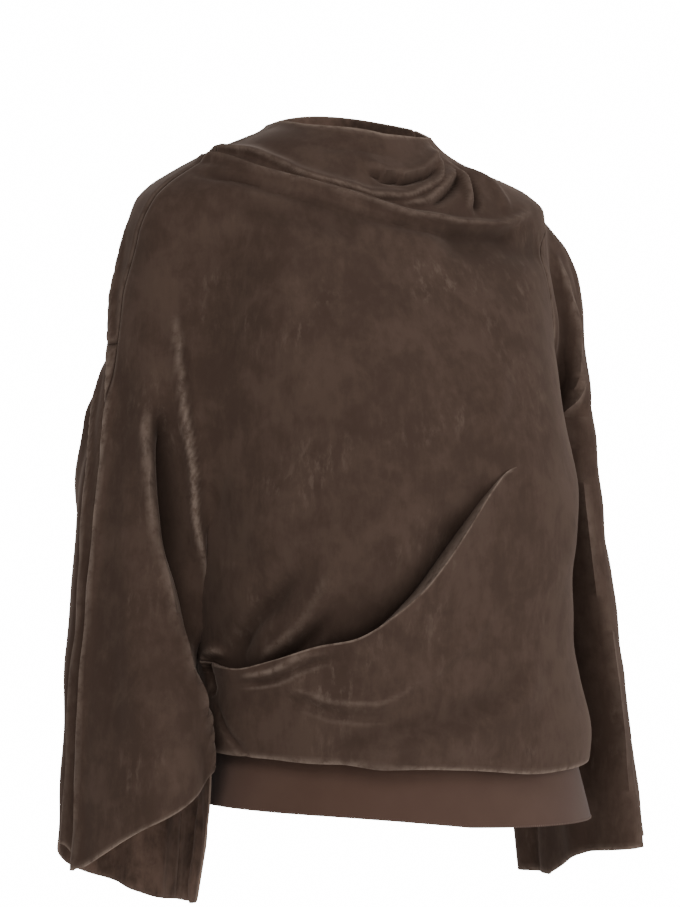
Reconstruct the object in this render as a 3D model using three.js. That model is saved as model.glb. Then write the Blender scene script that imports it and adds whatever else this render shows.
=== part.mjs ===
// A draped velvet top with a grown-on cowl neck, one set-in sleeve, one sleeve cut in one with the front,
// a tucked wrap fold across the waist, and a smooth jersey band that the body blouses over.
// Sizes are in millimetres. +X is the wearer's left, the front faces -Y and +Z is up. The origin lies
// between the shoulders, at the height where the neck of the top begins to rise from them.
import * as THREE from "three";

const velvetThickness = 2;
const bandThickness = 1.8;
const seamGap = 0.36; // the two sides of a seam stand this far apart
const velvetColour = "#4e3d35";
const bandColour = "#503d33";

const rightUnderarm = -400; // height where the sleeve cut in one with the front leaves the body
const leftUnderarm = -205;
const rightSideSeam = -102; // angles of the side seams on the body's outline
const leftSideSeam = 91;
const armpitFade = 90; // over this height below an underarm the sleeve's inner side leaves the body
const edgeShare = 0.05; // share of a row's width over which the cloth follows its edge exactly
const joinShare = 0.24; // share of a sleeve's round that bridges from the body to the free sleeve

// The body's outline by height: its centre, how far it reaches to each side, to the front and the back,
// and how square it is (2 is an ellipse).
const bodySections = [
  { z: 52, x: 0, y: -2, left: 62, right: 58, front: 54, back: 54, square: 2 },
  { z: 38, x: 0, y: -2, left: 70, right: 64, front: 61, back: 62, square: 2 },
  { z: 32, x: 0, y: -2, left: 73, right: 72, front: 65, back: 66, square: 2 },
  { z: 26, x: 0, y: -2, left: 77, right: 86, front: 68, back: 70, square: 2 },
  { z: 16, x: 0, y: -2, left: 88, right: 111, front: 74, back: 76, square: 2 },
  { z: 6, x: 0, y: -2, left: 108, right: 132, front: 81, back: 82, square: 2 },
  { z: -6, x: 0, y: -2, left: 150, right: 156, front: 88, back: 88, square: 2.05 },
  { z: -17, x: 0, y: -2, left: 174, right: 173, front: 94, back: 93, square: 2.1 },
  { z: -30, x: 0, y: -3, left: 186, right: 183, front: 101, back: 99, square: 2.2 },
  { z: -52, x: 1, y: -4, left: 183, right: 187, front: 110, back: 105, square: 2.3 },
  { z: -86, x: 2, y: -7, left: 177, right: 179, front: 122, back: 111, square: 2.4 },
  { z: -130, x: 3, y: -12, left: 170, right: 172, front: 138, back: 117, square: 2.4 },
  { z: -200, x: 5, y: -22, left: 164, right: 162, front: 152, back: 118, square: 2.5 },
  { z: -256, x: 7, y: -30, left: 164, right: 159, front: 156, back: 114, square: 2.5 },
  { z: -310, x: 9, y: -37, left: 160, right: 159, front: 150, back: 108, square: 2.5 },
  { z: -370, x: 12, y: -43, left: 158, right: 160, front: 138, back: 104, square: 2.4 },
  { z: -420, x: 13, y: -48, left: 164, right: 160, front: 134, back: 106, square: 2.3 },
  { z: -466, x: 14, y: -52, left: 174, right: 167, front: 136, back: 112, square: 2.25 },
  { z: -500, x: 15, y: -55, left: 172, right: 168, front: 132, back: 110, square: 2.2 },
];

// Each sleeve's outline by height round the arm's centre: out is away from the body, in is towards it.
const rightSleeveSections = [
  { z: -40, x: -160, y: 0, out: 42, in: 40, front: 40, back: 44, square: 2 },
  { z: -67, x: -163, y: 0, out: 40, in: 38, front: 44, back: 47, square: 2 },
  { z: -103, x: -169, y: 0, out: 34, in: 36, front: 48, back: 50, square: 2 },
  { z: -152, x: -175, y: 0, out: 33, in: 34, front: 50, back: 55, square: 2 },
  { z: -201, x: -184, y: 0, out: 33, in: 32, front: 50, back: 60, square: 2 },
  { z: -249, x: -193, y: 0, out: 31, in: 30, front: 48, back: 64, square: 2.1 },
  { z: -298, x: -200, y: -2, out: 31, in: 30, front: 48, back: 66, square: 2.1 },
  { z: -347, x: -203, y: -6, out: 34, in: 34, front: 58, back: 70, square: 2.1 },
  { z: -395, x: -203, y: -10, out: 40, in: 38, front: 68, back: 72, square: 2.1 },
  { z: -444, x: -201, y: -16, out: 48, in: 44, front: 82, back: 74, square: 2.2 },
  { z: -520, x: -204, y: -18, out: 50, in: 47, front: 82, back: 76, square: 2.2 },
  { z: -600, x: -212, y: -20, out: 49, in: 48, front: 82, back: 78, square: 2.2 },
];
const leftSleeveSections = [
  { z: -30, x: 168, y: 0, out: 37, in: 28, front: 34, back: 34, square: 2 },
  { z: -45, x: 170, y: 0, out: 41, in: 26, front: 40, back: 39, square: 2 },
  { z: -67, x: 172, y: 0, out: 45, in: 26, front: 50, back: 47, square: 2 },
  { z: -95, x: 176, y: 0, out: 45, in: 24, front: 61, back: 55, square: 2.1 },
  { z: -146, x: 185, y: 0, out: 37, in: 20, front: 70, back: 62, square: 2.2 },
  { z: -190, x: 193, y: 0, out: 31, in: 18, front: 74, back: 66, square: 2.2 },
  { z: -224, x: 198, y: -2, out: 28, in: 20, front: 76, back: 68, square: 2.2 },
  { z: -302, x: 206, y: -3, out: 29, in: 25, front: 77, back: 70, square: 2.2 },
  { z: -380, x: 215, y: -4, out: 32, in: 28, front: 79, back: 72, square: 2.2 },
  { z: -458, x: 225, y: -5, out: 32, in: 28, front: 81, back: 74, square: 2.2 },
  { z: -536, x: 232, y: -6, out: 34, in: 29, front: 83, back: 76, square: 2.2 },
  { z: -600, x: 238, y: -7, out: 37, in: 30, front: 84, back: 78, square: 2.2 },
];

// Where a sleeve leaves the body: the angles on the body's outline from the centre front, the angle on the
// sleeve's own outline where it comes free, how sharply the cloth turns there (0 runs on smoothly) and how
// much of a sleeve there is (0 is the plain shoulder).
const rightJoin = [
  { z: 52, front: -46, back: -122, free: 96, crease: 0, sleeve: 0 },
  { z: -14, front: -46, back: -122, free: 96, crease: 0, sleeve: 0 },
  { z: -60, front: -46, back: -124, free: 98, crease: 0, sleeve: 0.55 },
  { z: -110, front: -48, back: -126, free: 100, crease: 0, sleeve: 1 },
  { z: -160, front: -52, back: -126, free: 98, crease: 0, sleeve: 1 },
  { z: -200, front: -58, back: -124, free: 94, crease: 0, sleeve: 1 },
  { z: -235, front: -66, back: -122, free: 88, crease: 0.1, sleeve: 1 },
  { z: -265, front: -76, back: -119, free: 84, crease: 0.4, sleeve: 1 },
  { z: -300, front: -86, back: -116, free: 77, crease: 0.8, sleeve: 1 },
  { z: -340, front: -94, back: -112, free: 71, crease: 1, sleeve: 1 },
  { z: -400, front: -98, back: -106, free: 68, crease: 1, sleeve: 1 },
];
const leftJoin = [
  { z: -30, front: 90, back: 90, free: 125, crease: 1, sleeve: 0 },
  { z: -40, front: 76, back: 102, free: 120, crease: 1, sleeve: 0.6 },
  { z: -60, front: 66, back: 112, free: 108, crease: 1, sleeve: 1 },
  { z: -90, front: 62, back: 117, free: 98, crease: 1, sleeve: 1 },
  { z: -130, front: 65, back: 115, free: 92, crease: 1, sleeve: 1 },
  { z: -165, front: 74, back: 108, free: 85, crease: 1, sleeve: 1 },
  { z: -190, front: 82, back: 99, free: 75, crease: 1, sleeve: 1 },
  { z: -205, front: 87, back: 95, free: 66, crease: 1, sleeve: 1 },
];

// The lines that the front's rows follow, as heights, from the wearer's right (at 0) to the left (at 1).
const rimLine = { at: [0, 0.24, 0.37, 0.59, 0.8, 1], z: [34, 29, 26, 26, 28, 38] };
const upperCowlLine = {
  at: [0, 0.14, 0.28, 0.43, 0.55, 0.75, 1],
  z: [0, -12, -20, -14, -1, 12, 24],
};
const lowerCowlLine = { at: [0, 0.25, 0.55, 0.77, 1], z: [-13, -33, -46, -45, -30] };
const wrapLine = {
  at: [0, 0.13, 0.2, 0.27, 0.32, 0.36, 0.43, 0.49, 0.53, 0.57, 0.62, 0.8, 1],
  z: [-400, -413, -405, -393, -388, -378, -352, -320, -297, -271, -249, -224, -205],
};
const bulgeLine = { at: [0, 0.3, 0.5, 0.7, 1], z: [-446, -454, -460, -466, -462] };
const edgeLine = { at: [0, 0.3, 0.5, 0.7, 0.9, 1], z: [-472, -478, -486, -493, -489, -484] };
const frontLines = [rimLine, upperCowlLine, lowerCowlLine, wrapLine, bulgeLine, edgeLine];
const cowlLines = 2; // the shoulders' rows end at this line
const wrapLineNumber = 3;
const edgeLineNumber = 5;
const seamLineNumber = 6; // past the edge the cloth turns up inside, to the band's seam
const backRimRise = 14;
const shoulderSeamRow = 2.36; // the dropped shoulder's seam, in lines from the rim
const shoulderRise = { row: [0, 1, 2, 2.3, 3], z: [4, 15, 18, 6, 0] }; // rows climb to the right shoulder
const shoulderSeamDip = 46; // it falls by this much towards the body's back

const bandTop = { z: -470, x: 15, y: -56, left: 160, right: 153, front: 116, back: 98, square: 2.1 };
const bandBottom = { z: -534, x: 16, y: -58, left: 177, right: 168, front: 123, back: 106, square: 2.1 };
const bandTiltTop = { left: -3, right: 6 };
const bandTiltBottom = { left: -7, right: 16 };

// The lowest edge of each sleeve, from the front of the join (0), round the outside (0.5), to the back (1).
const rightHem = {
  at: [0, 0.12, 0.16, 0.2, 0.24, 0.28, 0.34, 0.4, 0.45, 0.49, 0.53, 0.58, 0.64, 0.7, 0.78, 0.88, 1],
  z: [-597, -596, -588, -484, -498, -512, -532, -552, -564, -568, -550, -547, -560, -578, -592, -600, -597],
};
const leftHem = {
  at: [0, 0.15, 0.3, 0.45, 0.52, 0.65, 0.8, 1],
  z: [-600, -584, -572, -560, -562, -590, -602, -602],
};

// Folds on the cloth laid flat, in millimetres: across runs round the body or the sleeve, z is the height.
// Each runs from its first end to its second, bowing to one side; height stands out, or in where negative.
const bodyMillimetres = 2.9; // across one degree of the body's outline
const sleeveMillimetres = 340; // across a sleeve's whole round
const bodyFolds = [
  { across: -120, z: -60, toAcross: -190, toZ: -330, bow: 14, width: 30, height: 6 },
  { across: 150, z: -50, toAcross: 90, toZ: -200, bow: -14, width: 30, height: -5 },
  { across: 215, z: -230, toAcross: 110, toZ: -350, bow: -20, width: 30, height: 4 },
  { across: -226, z: -140, toAcross: -262, toZ: -392, bow: 8, width: 16, height: 7 },
  { across: -235, z: -390, toAcross: -30, toZ: -320, bow: 26, width: 18, height: 7 },
  { across: -190, z: -426, toAcross: 20, toZ: -408, bow: -22, width: 18, height: 6 },
  { across: -20, z: -442, toAcross: 180, toZ: -400, bow: -26, width: 26, height: 6 },
];
const backFolds = [
  { across: 330, z: -40, toAcross: 290, toZ: -220, bow: 16, width: 34, height: -6 },
  { across: 390, z: -120, toAcross: 440, toZ: -340, bow: 20, width: 36, height: 6 },
  { across: 560, z: -60, toAcross: 600, toZ: -300, bow: -18, width: 36, height: -7 },
  { across: 300, z: -270, toAcross: 430, toZ: -400, bow: -24, width: 30, height: 6 },
  { across: 640, z: -330, toAcross: 500, toZ: -430, bow: 22, width: 28, height: 6 },
];
const rightSleeveFolds = [
  { across: 162, z: -90, toAcross: 170, toZ: -600, bow: 6, width: 22, height: 5 },
  { across: 115, z: -160, toAcross: 128, toZ: -520, bow: 8, width: 24, height: -6 },
  { across: 210, z: -300, toAcross: 205, toZ: -600, bow: 0, width: 22, height: -4 },
  { across: 262, z: -200, toAcross: 275, toZ: -600, bow: 12, width: 26, height: 6 },
];
const leftSleeveFolds = [
  { across: 122, z: -70, toAcross: 128, toZ: -600, bow: 6, width: 20, height: 5 },
  { across: 84, z: -120, toAcross: 90, toZ: -600, bow: -8, width: 22, height: -5 },
  { across: 165, z: -150, toAcross: 160, toZ: -600, bow: 10, width: 24, height: 5 },
  { across: 225, z: -110, toAcross: 250, toZ: -560, bow: 14, width: 26, height: -6 },
];
// The wrap fold's lip stands out below its line and the cloth above sinks in behind it.
const wrapFold = { lip: 10, sink: 13, lift: 6, lipReach: 34, sinkReach: 24, liftReach: 12 };
const wrapSpan = { begins: 0.02, rises: 0.1, falls: 0.22, ends: 0.64 }; // in shares across the front
// The cowl's folds run along the rows: where each lies, in lines from the rim, and how far it stands out.
const cowlFolds = [
  { row: 1, height: 6 },
  { row: 1.5, height: -5 },
  { row: 2, height: 7 },
  { row: 2.16, height: -3 },
];
const cowlReach = 0.34; // each cowl fold's width, in lines
const cowlFade = 0.22; // share across over which they die away at each end
const foldEnds = 3.5; // a fold rises, and dies away, over its length divided by this
const bridgePull = 2.6; // the cloth leaves the body and reaches the sleeve over its bridge divided by this
const bridgeStep = 2; // degrees along an outline that give its direction
const tuckRoll = 0.35; // how round the cloth rolls under the blouse
const seamSquare = 0.5; // how much of its slant along a seam a corner loses when it is drawn back
const leastApart = 0.3; // where a seam's sides turn the same way, this keeps them from being drawn far back

const radians = Math.PI / 180;
const mix = (a, b, share) => a + (b - a) * share;
const clamp = (value, low, high) => Math.min(high, Math.max(low, value));
function smooth(value) {
  const share = clamp(value, 0, 1);
  return share * share * (3 - 2 * share);
}

// A smooth curve through values given at rising places.
function curve(places, values, where) {
  const last = places.length - 1;
  const w = clamp(where, places[0], places[last]);
  let i = 0;
  while (i < last - 1 && w > places[i + 1]) i += 1;
  const rise = (k) => (values[k + 1] - values[k]) / (places[k + 1] - places[k]);
  const slope = (k) => {
    if (k === 0) return rise(0);
    if (k === last) return rise(last - 1);
    const before = rise(k - 1);
    const after = rise(k);
    return before * after <= 0 ? 0 : (2 * before * after) / (before + after);
  };
  const span = places[i + 1] - places[i];
  const s = (w - places[i]) / span;
  const s2 = s * s;
  const s3 = s2 * s;
  const fromStart = values[i] * (2 * s3 - 3 * s2 + 1) + slope(i) * span * (s3 - 2 * s2 + s);
  const fromEnd = values[i + 1] * (3 * s2 - 2 * s3) + slope(i + 1) * span * (s3 - s2);
  return fromStart + fromEnd;
}

// A table's row at any height, worked out between the rows it has.
function rowAt(table, z) {
  const heights = table.map((row) => -row.z);
  const row = {};
  for (const column of Object.keys(table[0])) {
    const values = table.map((entry) => entry[column]);
    row[column] = curve(heights, values, -z);
  }
  return row;
}

// A point on an outline, by its angle from straight ahead; positive is to the wearer's left.
function outlinePoint(section, degrees) {
  const across = Math.sin(degrees * radians);
  const forward = Math.cos(degrees * radians);
  const side = across > 0 ? section.left : section.right;
  const depth = forward > 0 ? section.front : section.back;
  const n = section.square;
  const reach = (Math.abs(across / side) ** n + Math.abs(forward / depth) ** n) ** (-1 / n);
  return new THREE.Vector2(section.x + across * reach, section.y - forward * reach);
}
function bodyPoint(degrees, z) {
  return outlinePoint(rowAt(bodySections, z), degrees);
}

const rightSide = {
  sign: -1,
  sections: rightSleeveSections,
  join: rightJoin,
  underarm: rightUnderarm,
  sideSeam: rightSideSeam,
  hem: rightHem,
  folds: rightSleeveFolds,
};
const leftSide = {
  sign: 1,
  sections: leftSleeveSections,
  join: leftJoin,
  underarm: leftUnderarm,
  sideSeam: leftSideSeam,
  hem: leftHem,
  folds: leftSleeveFolds,
};

// A point on a sleeve's own outline, by the turn from its inner side (0) through the front (90).
function sleevePoint(side, turn, z) {
  const row = rowAt(side.sections, z);
  const section = { ...row, left: side.sign > 0 ? row.out : row.in, right: side.sign > 0 ? row.in : row.out };
  return outlinePoint(section, side.sign * (turn - 90));
}

function bezier(a, b, c, d, t) {
  const u = 1 - t;
  return new THREE.Vector2()
    .addScaledVector(a, u * u * u)
    .addScaledVector(b, 3 * u * u * t)
    .addScaledVector(c, 3 * u * t * t)
    .addScaledVector(d, t * t * t);
}

// A point of a sleeve's cloth at a height: share runs from the front of the join, round, to its back.
function sleeveCloth(side, share, z) {
  const level = Math.max(z, side.underarm);
  const join = rowAt(side.join, level);
  if (z <= side.underarm) {
    join.front = side.sideSeam;
    join.back = side.sideSeam;
  }
  const plain = bodyPoint(mix(join.front, join.back, share), level);
  if (join.sleeve <= 0) return plain;
  const inHalf = share <= 0.5;
  const t = (inHalf ? share : 1 - share) / joinShare;
  if (t >= 1) {
    const turn = mix(join.free, 360 - join.free, (share - joinShare) / (1 - 2 * joinShare));
    return plain.lerp(sleevePoint(side, turn, z), join.sleeve);
  }
  const way = inHalf ? 1 : -1;
  const whole = inHalf ? 0 : 360;
  const angle = inHalf ? join.front : join.back;
  const below = smooth((side.underarm - z) / armpitFade);
  const end = bodyPoint(angle, level).lerp(sleevePoint(side, 0, z), below);
  const target = sleevePoint(side, whole + way * join.free, z);
  const ahead = sleevePoint(side, whole + way * (join.free + bridgeStep), z).sub(target).normalize();
  const nextOnBody = bodyPoint(angle + side.sign * way * bridgeStep, level);
  const smoothWay = nextOnBody.sub(bodyPoint(angle, level)).normalize();
  const sharpWay = target.clone().sub(end).normalize();
  const roundWay = sleevePoint(side, way * bridgeStep, z).sub(sleevePoint(side, 0, z)).normalize();
  smoothWay.lerp(sharpWay, join.crease).lerp(roundWay, below).normalize();
  const gap = end.distanceTo(target) / bridgePull;
  const leave = end.clone().addScaledVector(smoothWay, gap);
  const arrive = target.clone().addScaledVector(ahead, -gap);
  return plain.lerp(bezier(end, leave, arrive, target, t), join.sleeve);
}

// How far the listed folds move the cloth at a place on it.
function foldHeight(folds, across, z) {
  let height = 0;
  for (const fold of folds) {
    const runAcross = fold.toAcross - fold.across;
    const runZ = fold.toZ - fold.z;
    const length = Math.hypot(runAcross, runZ);
    const t = ((across - fold.across) * runAcross + (z - fold.z) * runZ) / (length * length);
    if (t <= 0 || t >= 1) continue;
    const aside = ((across - fold.across) * runZ - (z - fold.z) * runAcross) / length;
    const distance = (aside - fold.bow * 4 * t * (1 - t)) / fold.width;
    const fade = smooth(t * foldEnds) * smooth((1 - t) * foldEnds);
    height += fold.height * Math.exp(-distance * distance) * fade;
  }
  return height;
}

// An edge of the front or back by height: its armhole or sleeve above the underarm, its side seam below.
// The cloth beside the edge turns to the side seam more slowly than the edge itself.
function pieceEdge(side, end, z, turn = 0) {
  const armhole = rowAt(side.join, Math.max(z, side.underarm))[end];
  const beside = mix(armhole, side.sideSeam, smooth((side.underarm - z) / armpitFade));
  return { edge: turn + (z <= side.underarm ? side.sideSeam : armhole), beside: turn + beside };
}
function rowDegrees(first, last, across) {
  const atFirst = (first.edge - first.beside) * smooth(1 - across / edgeShare);
  const atLast = (last.edge - last.beside) * smooth(1 - (1 - across) / edgeShare);
  return mix(first.beside, last.beside, across) + atFirst + atLast;
}

// A row number, in lines from the rim, as a height at a place across the front.
function frontHeight(row, across) {
  const i = Math.min(Math.floor(row), edgeLineNumber - 1);
  const above = curve(frontLines[i].at, frontLines[i].z, across);
  const below = curve(frontLines[i + 1].at, frontLines[i + 1].z, across);
  return mix(above, below, row - i);
}
function rightSleeveHeight(row, share) {
  const toSeam = smooth((row - cowlLines) / (shoulderSeamRow - cowlLines));
  const fromSeam = smooth((wrapLineNumber - row) / (wrapLineNumber - shoulderSeamRow));
  const dip = shoulderSeamDip * toSeam * fromSeam * smooth((share - 0.5) * 2);
  const rise = curve(shoulderRise.row, shoulderRise.z, row) * smooth(share * 2);
  return frontHeight(row, 0) - dip + rise;
}
function backHeight(row, across) {
  const leftZ = frontHeight(row, 1);
  const rightZ = rightSleeveHeight(row, 1);
  const rise = backRimRise * 4 * across * (1 - across) * smooth(1 - row);
  return { leftZ, rightZ, z: mix(leftZ, rightZ, smooth(across)) + rise };
}

// The band's outline at its top (0) or bottom (1), tilted as it sits on the hips.
function bandPoint(degrees, share) {
  const section = {};
  for (const column of Object.keys(bandTop)) {
    section[column] = mix(bandTop[column], bandBottom[column], share);
  }
  const flat = outlinePoint(section, degrees);
  const tilt = {};
  for (const column of Object.keys(bandTiltTop)) {
    tilt[column] = mix(bandTiltTop[column], bandTiltBottom[column], share);
  }
  const across = Math.sin(degrees * radians);
  const sideTilt = across > 0 ? tilt.left * across : -tilt.right * across;
  return new THREE.Vector3(flat.x, flat.y, section.z + sideTilt);
}

// The shared sheet: every place on the cloth once, with how far its folds move it.
const places = [];
function place(x, y, z, folded, lift) {
  places.push({ base: new THREE.Vector3(x, y, z), folded, lift });
  return places.length - 1;
}
function wrapStrength(across) {
  const rising = smooth((across - wrapSpan.begins) / wrapSpan.rises);
  return rising * smooth((wrapSpan.ends - across) / wrapSpan.falls);
}
function frontFolds(row, across, degrees, z) {
  let folded = foldHeight(bodyFolds, degrees * bodyMillimetres, z);
  const middle = smooth(across / cowlFade) * smooth((1 - across) / cowlFade);
  for (const fold of cowlFolds) {
    const away = (row - fold.row) / cowlReach;
    folded += middle * fold.height * Math.exp(-away * away);
  }
  const under = frontHeight(wrapLineNumber, across) - z;
  const strength = wrapStrength(across);
  const lip = wrapFold.lip * Math.exp(-Math.max(0, under) / wrapFold.lipReach);
  const sink = -wrapFold.sink * Math.exp(Math.min(0, under) / wrapFold.sinkReach);
  const isUnder = row >= wrapLineNumber;
  folded += strength * (isUnder ? lip : sink);
  const lift = strength * wrapFold.lift * (isUnder ? Math.exp(-under / wrapFold.liftReach) : 0);
  return { folded, lift };
}

const cowlRows = [0, 0.22, 0.45, 0.7, 0.85, 1, 1.18, 1.36, 1.55, 1.78];
const chestRows = [2, 2.05, 2.11, 2.18, 2.26, 2.36, 2.46, 2.56, 2.66, 2.75, 2.83, 2.9, 2.95, 2.985];
const waistRows = [3, 3.14, 3.32, 3.55, 3.8, 4, 4.3, 4.6, 4.85, 5];
const tuckRows = [5.3, 5.65, 6];
const bodyRows = [...cowlRows, ...chestRows, ...waistRows, ...tuckRows];
const bandRows = 3;
const frontColumns = 26;
const backColumns = 18;
const sleeveColumns = 18;
const lowerRightRows = 8;
const lowerLeftRows = 13;
const wrapRow = bodyRows.indexOf(wrapLineNumber);
const shoulderRow = bodyRows.indexOf(cowlLines);
const droppedSeamRow = bodyRows.indexOf(shoulderSeamRow);

// Past the blouse's edge the cloth rolls in and up to the band's seam.
function tuckPoint(row, degrees, edge) {
  const seam = bandPoint(degrees, 0);
  const share = (row - edgeLineNumber) / (seamLineNumber - edgeLineNumber);
  const inward = 1 - Math.cos((share * Math.PI) / 2);
  const upward = smooth(share);
  return new THREE.Vector3(
    mix(edge.x, seam.x, mix(share, inward, tuckRoll)),
    mix(edge.y, seam.y, mix(share, inward, tuckRoll)),
    mix(edge.z, seam.z, upward)
  );
}

const frontGrid = bodyRows.map((row) => {
  const line = [];
  for (let i = 0; i <= frontColumns; i += 1) {
    const across = i / frontColumns;
    const level = Math.min(row, edgeLineNumber);
    const z = frontHeight(level, across);
    const rightEdge = pieceEdge(rightSide, "front", frontHeight(level, 0));
    const leftEdge = pieceEdge(leftSide, "front", frontHeight(level, 1));
    const degrees = rowDegrees(rightEdge, leftEdge, across);
    const flat = bodyPoint(degrees, z);
    if (row <= edgeLineNumber) {
      const fold = frontFolds(row, across, degrees, z);
      line.push(place(flat.x, flat.y, z, fold.folded, fold.lift));
    } else {
      const rolled = tuckPoint(row, degrees, new THREE.Vector3(flat.x, flat.y, z));
      line.push(place(rolled.x, rolled.y, rolled.z, 0, 0));
    }
  }
  return line;
});

const leftGrid = [];
for (let j = shoulderRow; j <= wrapRow + lowerLeftRows; j += 1) {
  const above = j <= wrapRow;
  const line = [];
  for (let k = 0; k <= sleeveColumns; k += 1) {
    const share = k / sleeveColumns;
    const down = (j - wrapRow) / lowerLeftRows;
    const hem = curve(leftHem.at, leftHem.z, share);
    const z = above ? frontHeight(bodyRows[j], 1) : mix(leftUnderarm, hem, down);
    const closed = j >= wrapRow && k === sleeveColumns;
    if (j === shoulderRow || (above && k === 0)) line.push(frontGrid[j][frontColumns]);
    else if (closed) line.push(line[0]);
    else {
      const flat = sleeveCloth(leftSide, share, z);
      line.push(place(flat.x, flat.y, z, foldHeight(leftSleeveFolds, share * sleeveMillimetres, z), 0));
    }
  }
  leftGrid.push(line);
}

const rightGrid = [];
for (let j = 0; j <= wrapRow + lowerRightRows; j += 1) {
  const above = j <= wrapRow;
  const line = [];
  for (let k = 0; k <= sleeveColumns; k += 1) {
    const share = k / sleeveColumns;
    const down = (j - wrapRow) / lowerRightRows;
    const hem = curve(rightHem.at, rightHem.z, share);
    const z = above ? rightSleeveHeight(bodyRows[j], share) : mix(rightUnderarm, hem, down);
    const closed = j >= wrapRow && k === sleeveColumns;
    if (above && k === 0) line.push(frontGrid[j][0]);
    else if (closed) line.push(line[0]);
    else {
      const flat = sleeveCloth(rightSide, share, z);
      line.push(place(flat.x, flat.y, z, foldHeight(rightSleeveFolds, share * sleeveMillimetres, z), 0));
    }
  }
  rightGrid.push(line);
}

const backGrid = bodyRows.map((row, j) => {
  const line = [];
  const level = Math.min(row, edgeLineNumber);
  for (let i = 0; i <= backColumns; i += 1) {
    const across = i / backColumns;
    const heights = backHeight(level, across);
    const leftEdge = pieceEdge(leftSide, "back", heights.leftZ);
    const rightEdge = pieceEdge(rightSide, "back", heights.rightZ, 360);
    const degrees = rowDegrees(leftEdge, rightEdge, across);
    const z = heights.z;
    const outsideSleeve = j < shoulderRow || j >= wrapRow;
    if (i === 0 && outsideSleeve) line.push(frontGrid[j][frontColumns]);
    else if (i === 0) line.push(leftGrid[j - shoulderRow][sleeveColumns]);
    else if (i === backColumns && j <= wrapRow) line.push(rightGrid[j][sleeveColumns]);
    else if (i === backColumns) line.push(frontGrid[j][0]);
    else if (row <= edgeLineNumber) {
      const flat = bodyPoint(degrees, z);
      const folded = foldHeight(backFolds, degrees * bodyMillimetres, z);
      line.push(place(flat.x, flat.y, z, folded, 0));
    } else {
      const flat = bodyPoint(degrees, z);
      const rolled = tuckPoint(row, degrees, new THREE.Vector3(flat.x, flat.y, z));
      line.push(place(rolled.x, rolled.y, rolled.z, 0, 0));
    }
  }
  return line;
});

const bandColumns = frontColumns + backColumns;
const seamRing = [...frontGrid[bodyRows.length - 1], ...backGrid[bodyRows.length - 1].slice(1)];
const bandGrid = [seamRing];
for (let j = 1; j <= bandRows; j += 1) {
  const line = [];
  for (let i = 0; i < bandColumns; i += 1) {
    const top = places[seamRing[i]].base;
    const centre = bandTop;
    const degrees = Math.atan2(top.x - centre.x, -(top.y - centre.y)) / radians;
    const point = bandPoint(degrees, j / bandRows);
    line.push(place(point.x, point.y, point.z, 0, 0));
  }
  line.push(line[0]);
  bandGrid.push(line);
}

// The cloth's faces, each with the piece it belongs to; flip turns a grid's faces the other way.
const faces = [];
function face(piece, a, b, c) {
  if (a !== b && b !== c && a !== c) faces.push({ piece, corners: [a, b, c] });
}
function fill(grid, flip, pieceOf) {
  for (let j = 0; j + 1 < grid.length; j += 1) {
    for (let i = 0; i + 1 < grid[j].length; i += 1) {
      const a = grid[j][i];
      const b = grid[j + 1][i];
      const c = grid[j + 1][i + 1];
      const d = grid[j][i + 1];
      const piece = pieceOf(j, i);
      if (flip) {
        face(piece, a, c, b);
        face(piece, a, d, c);
      } else {
        face(piece, a, b, c);
        face(piece, a, c, d);
      }
    }
  }
}
fill(frontGrid, false, () => "front");
fill(backGrid, false, () => "back");
fill(leftGrid, false, () => "left_sleeve");
fill(bandGrid, false, () => "waistband");
fill(rightGrid, true, (j, k) => {
  if (k < sleeveColumns / 2) return "front";
  return j < droppedSeamRow ? "back" : "right_sleeve_back";
});

function vertexNormals(points) {
  const normals = points.map(() => new THREE.Vector3());
  const ab = new THREE.Vector3();
  const ac = new THREE.Vector3();
  for (const { corners } of faces) {
    const [a, b, c] = corners.map((corner) => points[corner]);
    const across = ab.subVectors(b, a).cross(ac.subVectors(c, a));
    if (across.length() === 0) continue;
    const turned = across.clone().normalize();
    corners.forEach((corner, n) => {
      const next = points[corners[(n + 1) % 3]].clone().sub(points[corner]);
      const before = points[corners[(n + 2) % 3]].clone().sub(points[corner]);
      normals[corner].addScaledVector(turned, next.angleTo(before));
    });
  }
  return normals.map((normal) => normal.normalize());
}

const flatPoints = places.map((entry) => entry.base);
const flatNormals = vertexNormals(flatPoints);
const middle = places.map((entry, n) => {
  const point = entry.base.clone().addScaledVector(flatNormals[n], entry.folded);
  point.z += entry.lift;
  return point;
});
const normals = vertexNormals(middle);

// At each corner on a piece's edge, the way into that piece along the cloth.
function inwardWays(piece) {
  const ways = new Map();
  const edges = new Map();
  const own = faces.filter((entry) => entry.piece === piece);
  for (const { corners } of own) {
    corners.forEach((corner, n) => {
      const next = corners[(n + 1) % 3];
      edges.set(`${corner},${next}`, corners);
    });
  }
  const rim = [];
  for (const [key, corners] of edges) {
    const [a, b] = key.split(",").map(Number);
    if (edges.has(`${b},${a}`)) continue;
    rim.push([a, b]);
    for (const corner of [a, b]) if (!ways.has(corner)) ways.set(corner, new THREE.Vector3());
  }
  for (const { corners } of own) {
    const centre = new THREE.Vector3();
    for (const corner of corners) centre.addScaledVector(middle[corner], 1 / 3);
    for (const corner of corners) {
      if (ways.has(corner)) ways.get(corner).add(centre.clone().sub(middle[corner]).normalize());
    }
  }
  for (const [a, b] of rim) {
    const along = middle[b].clone().sub(middle[a]).normalize();
    for (const corner of [a, b]) {
      const way = ways.get(corner);
      way.addScaledVector(along, -seamSquare * way.dot(along));
    }
  }
  for (const way of ways.values()) way.normalize();
  return { own, rim, ways };
}

const pieceNames = ["front", "back", "right_sleeve_back", "left_sleeve", "waistband"];
const pieces = Object.fromEntries(pieceNames.map((name) => [name, inwardWays(name)]));

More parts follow.
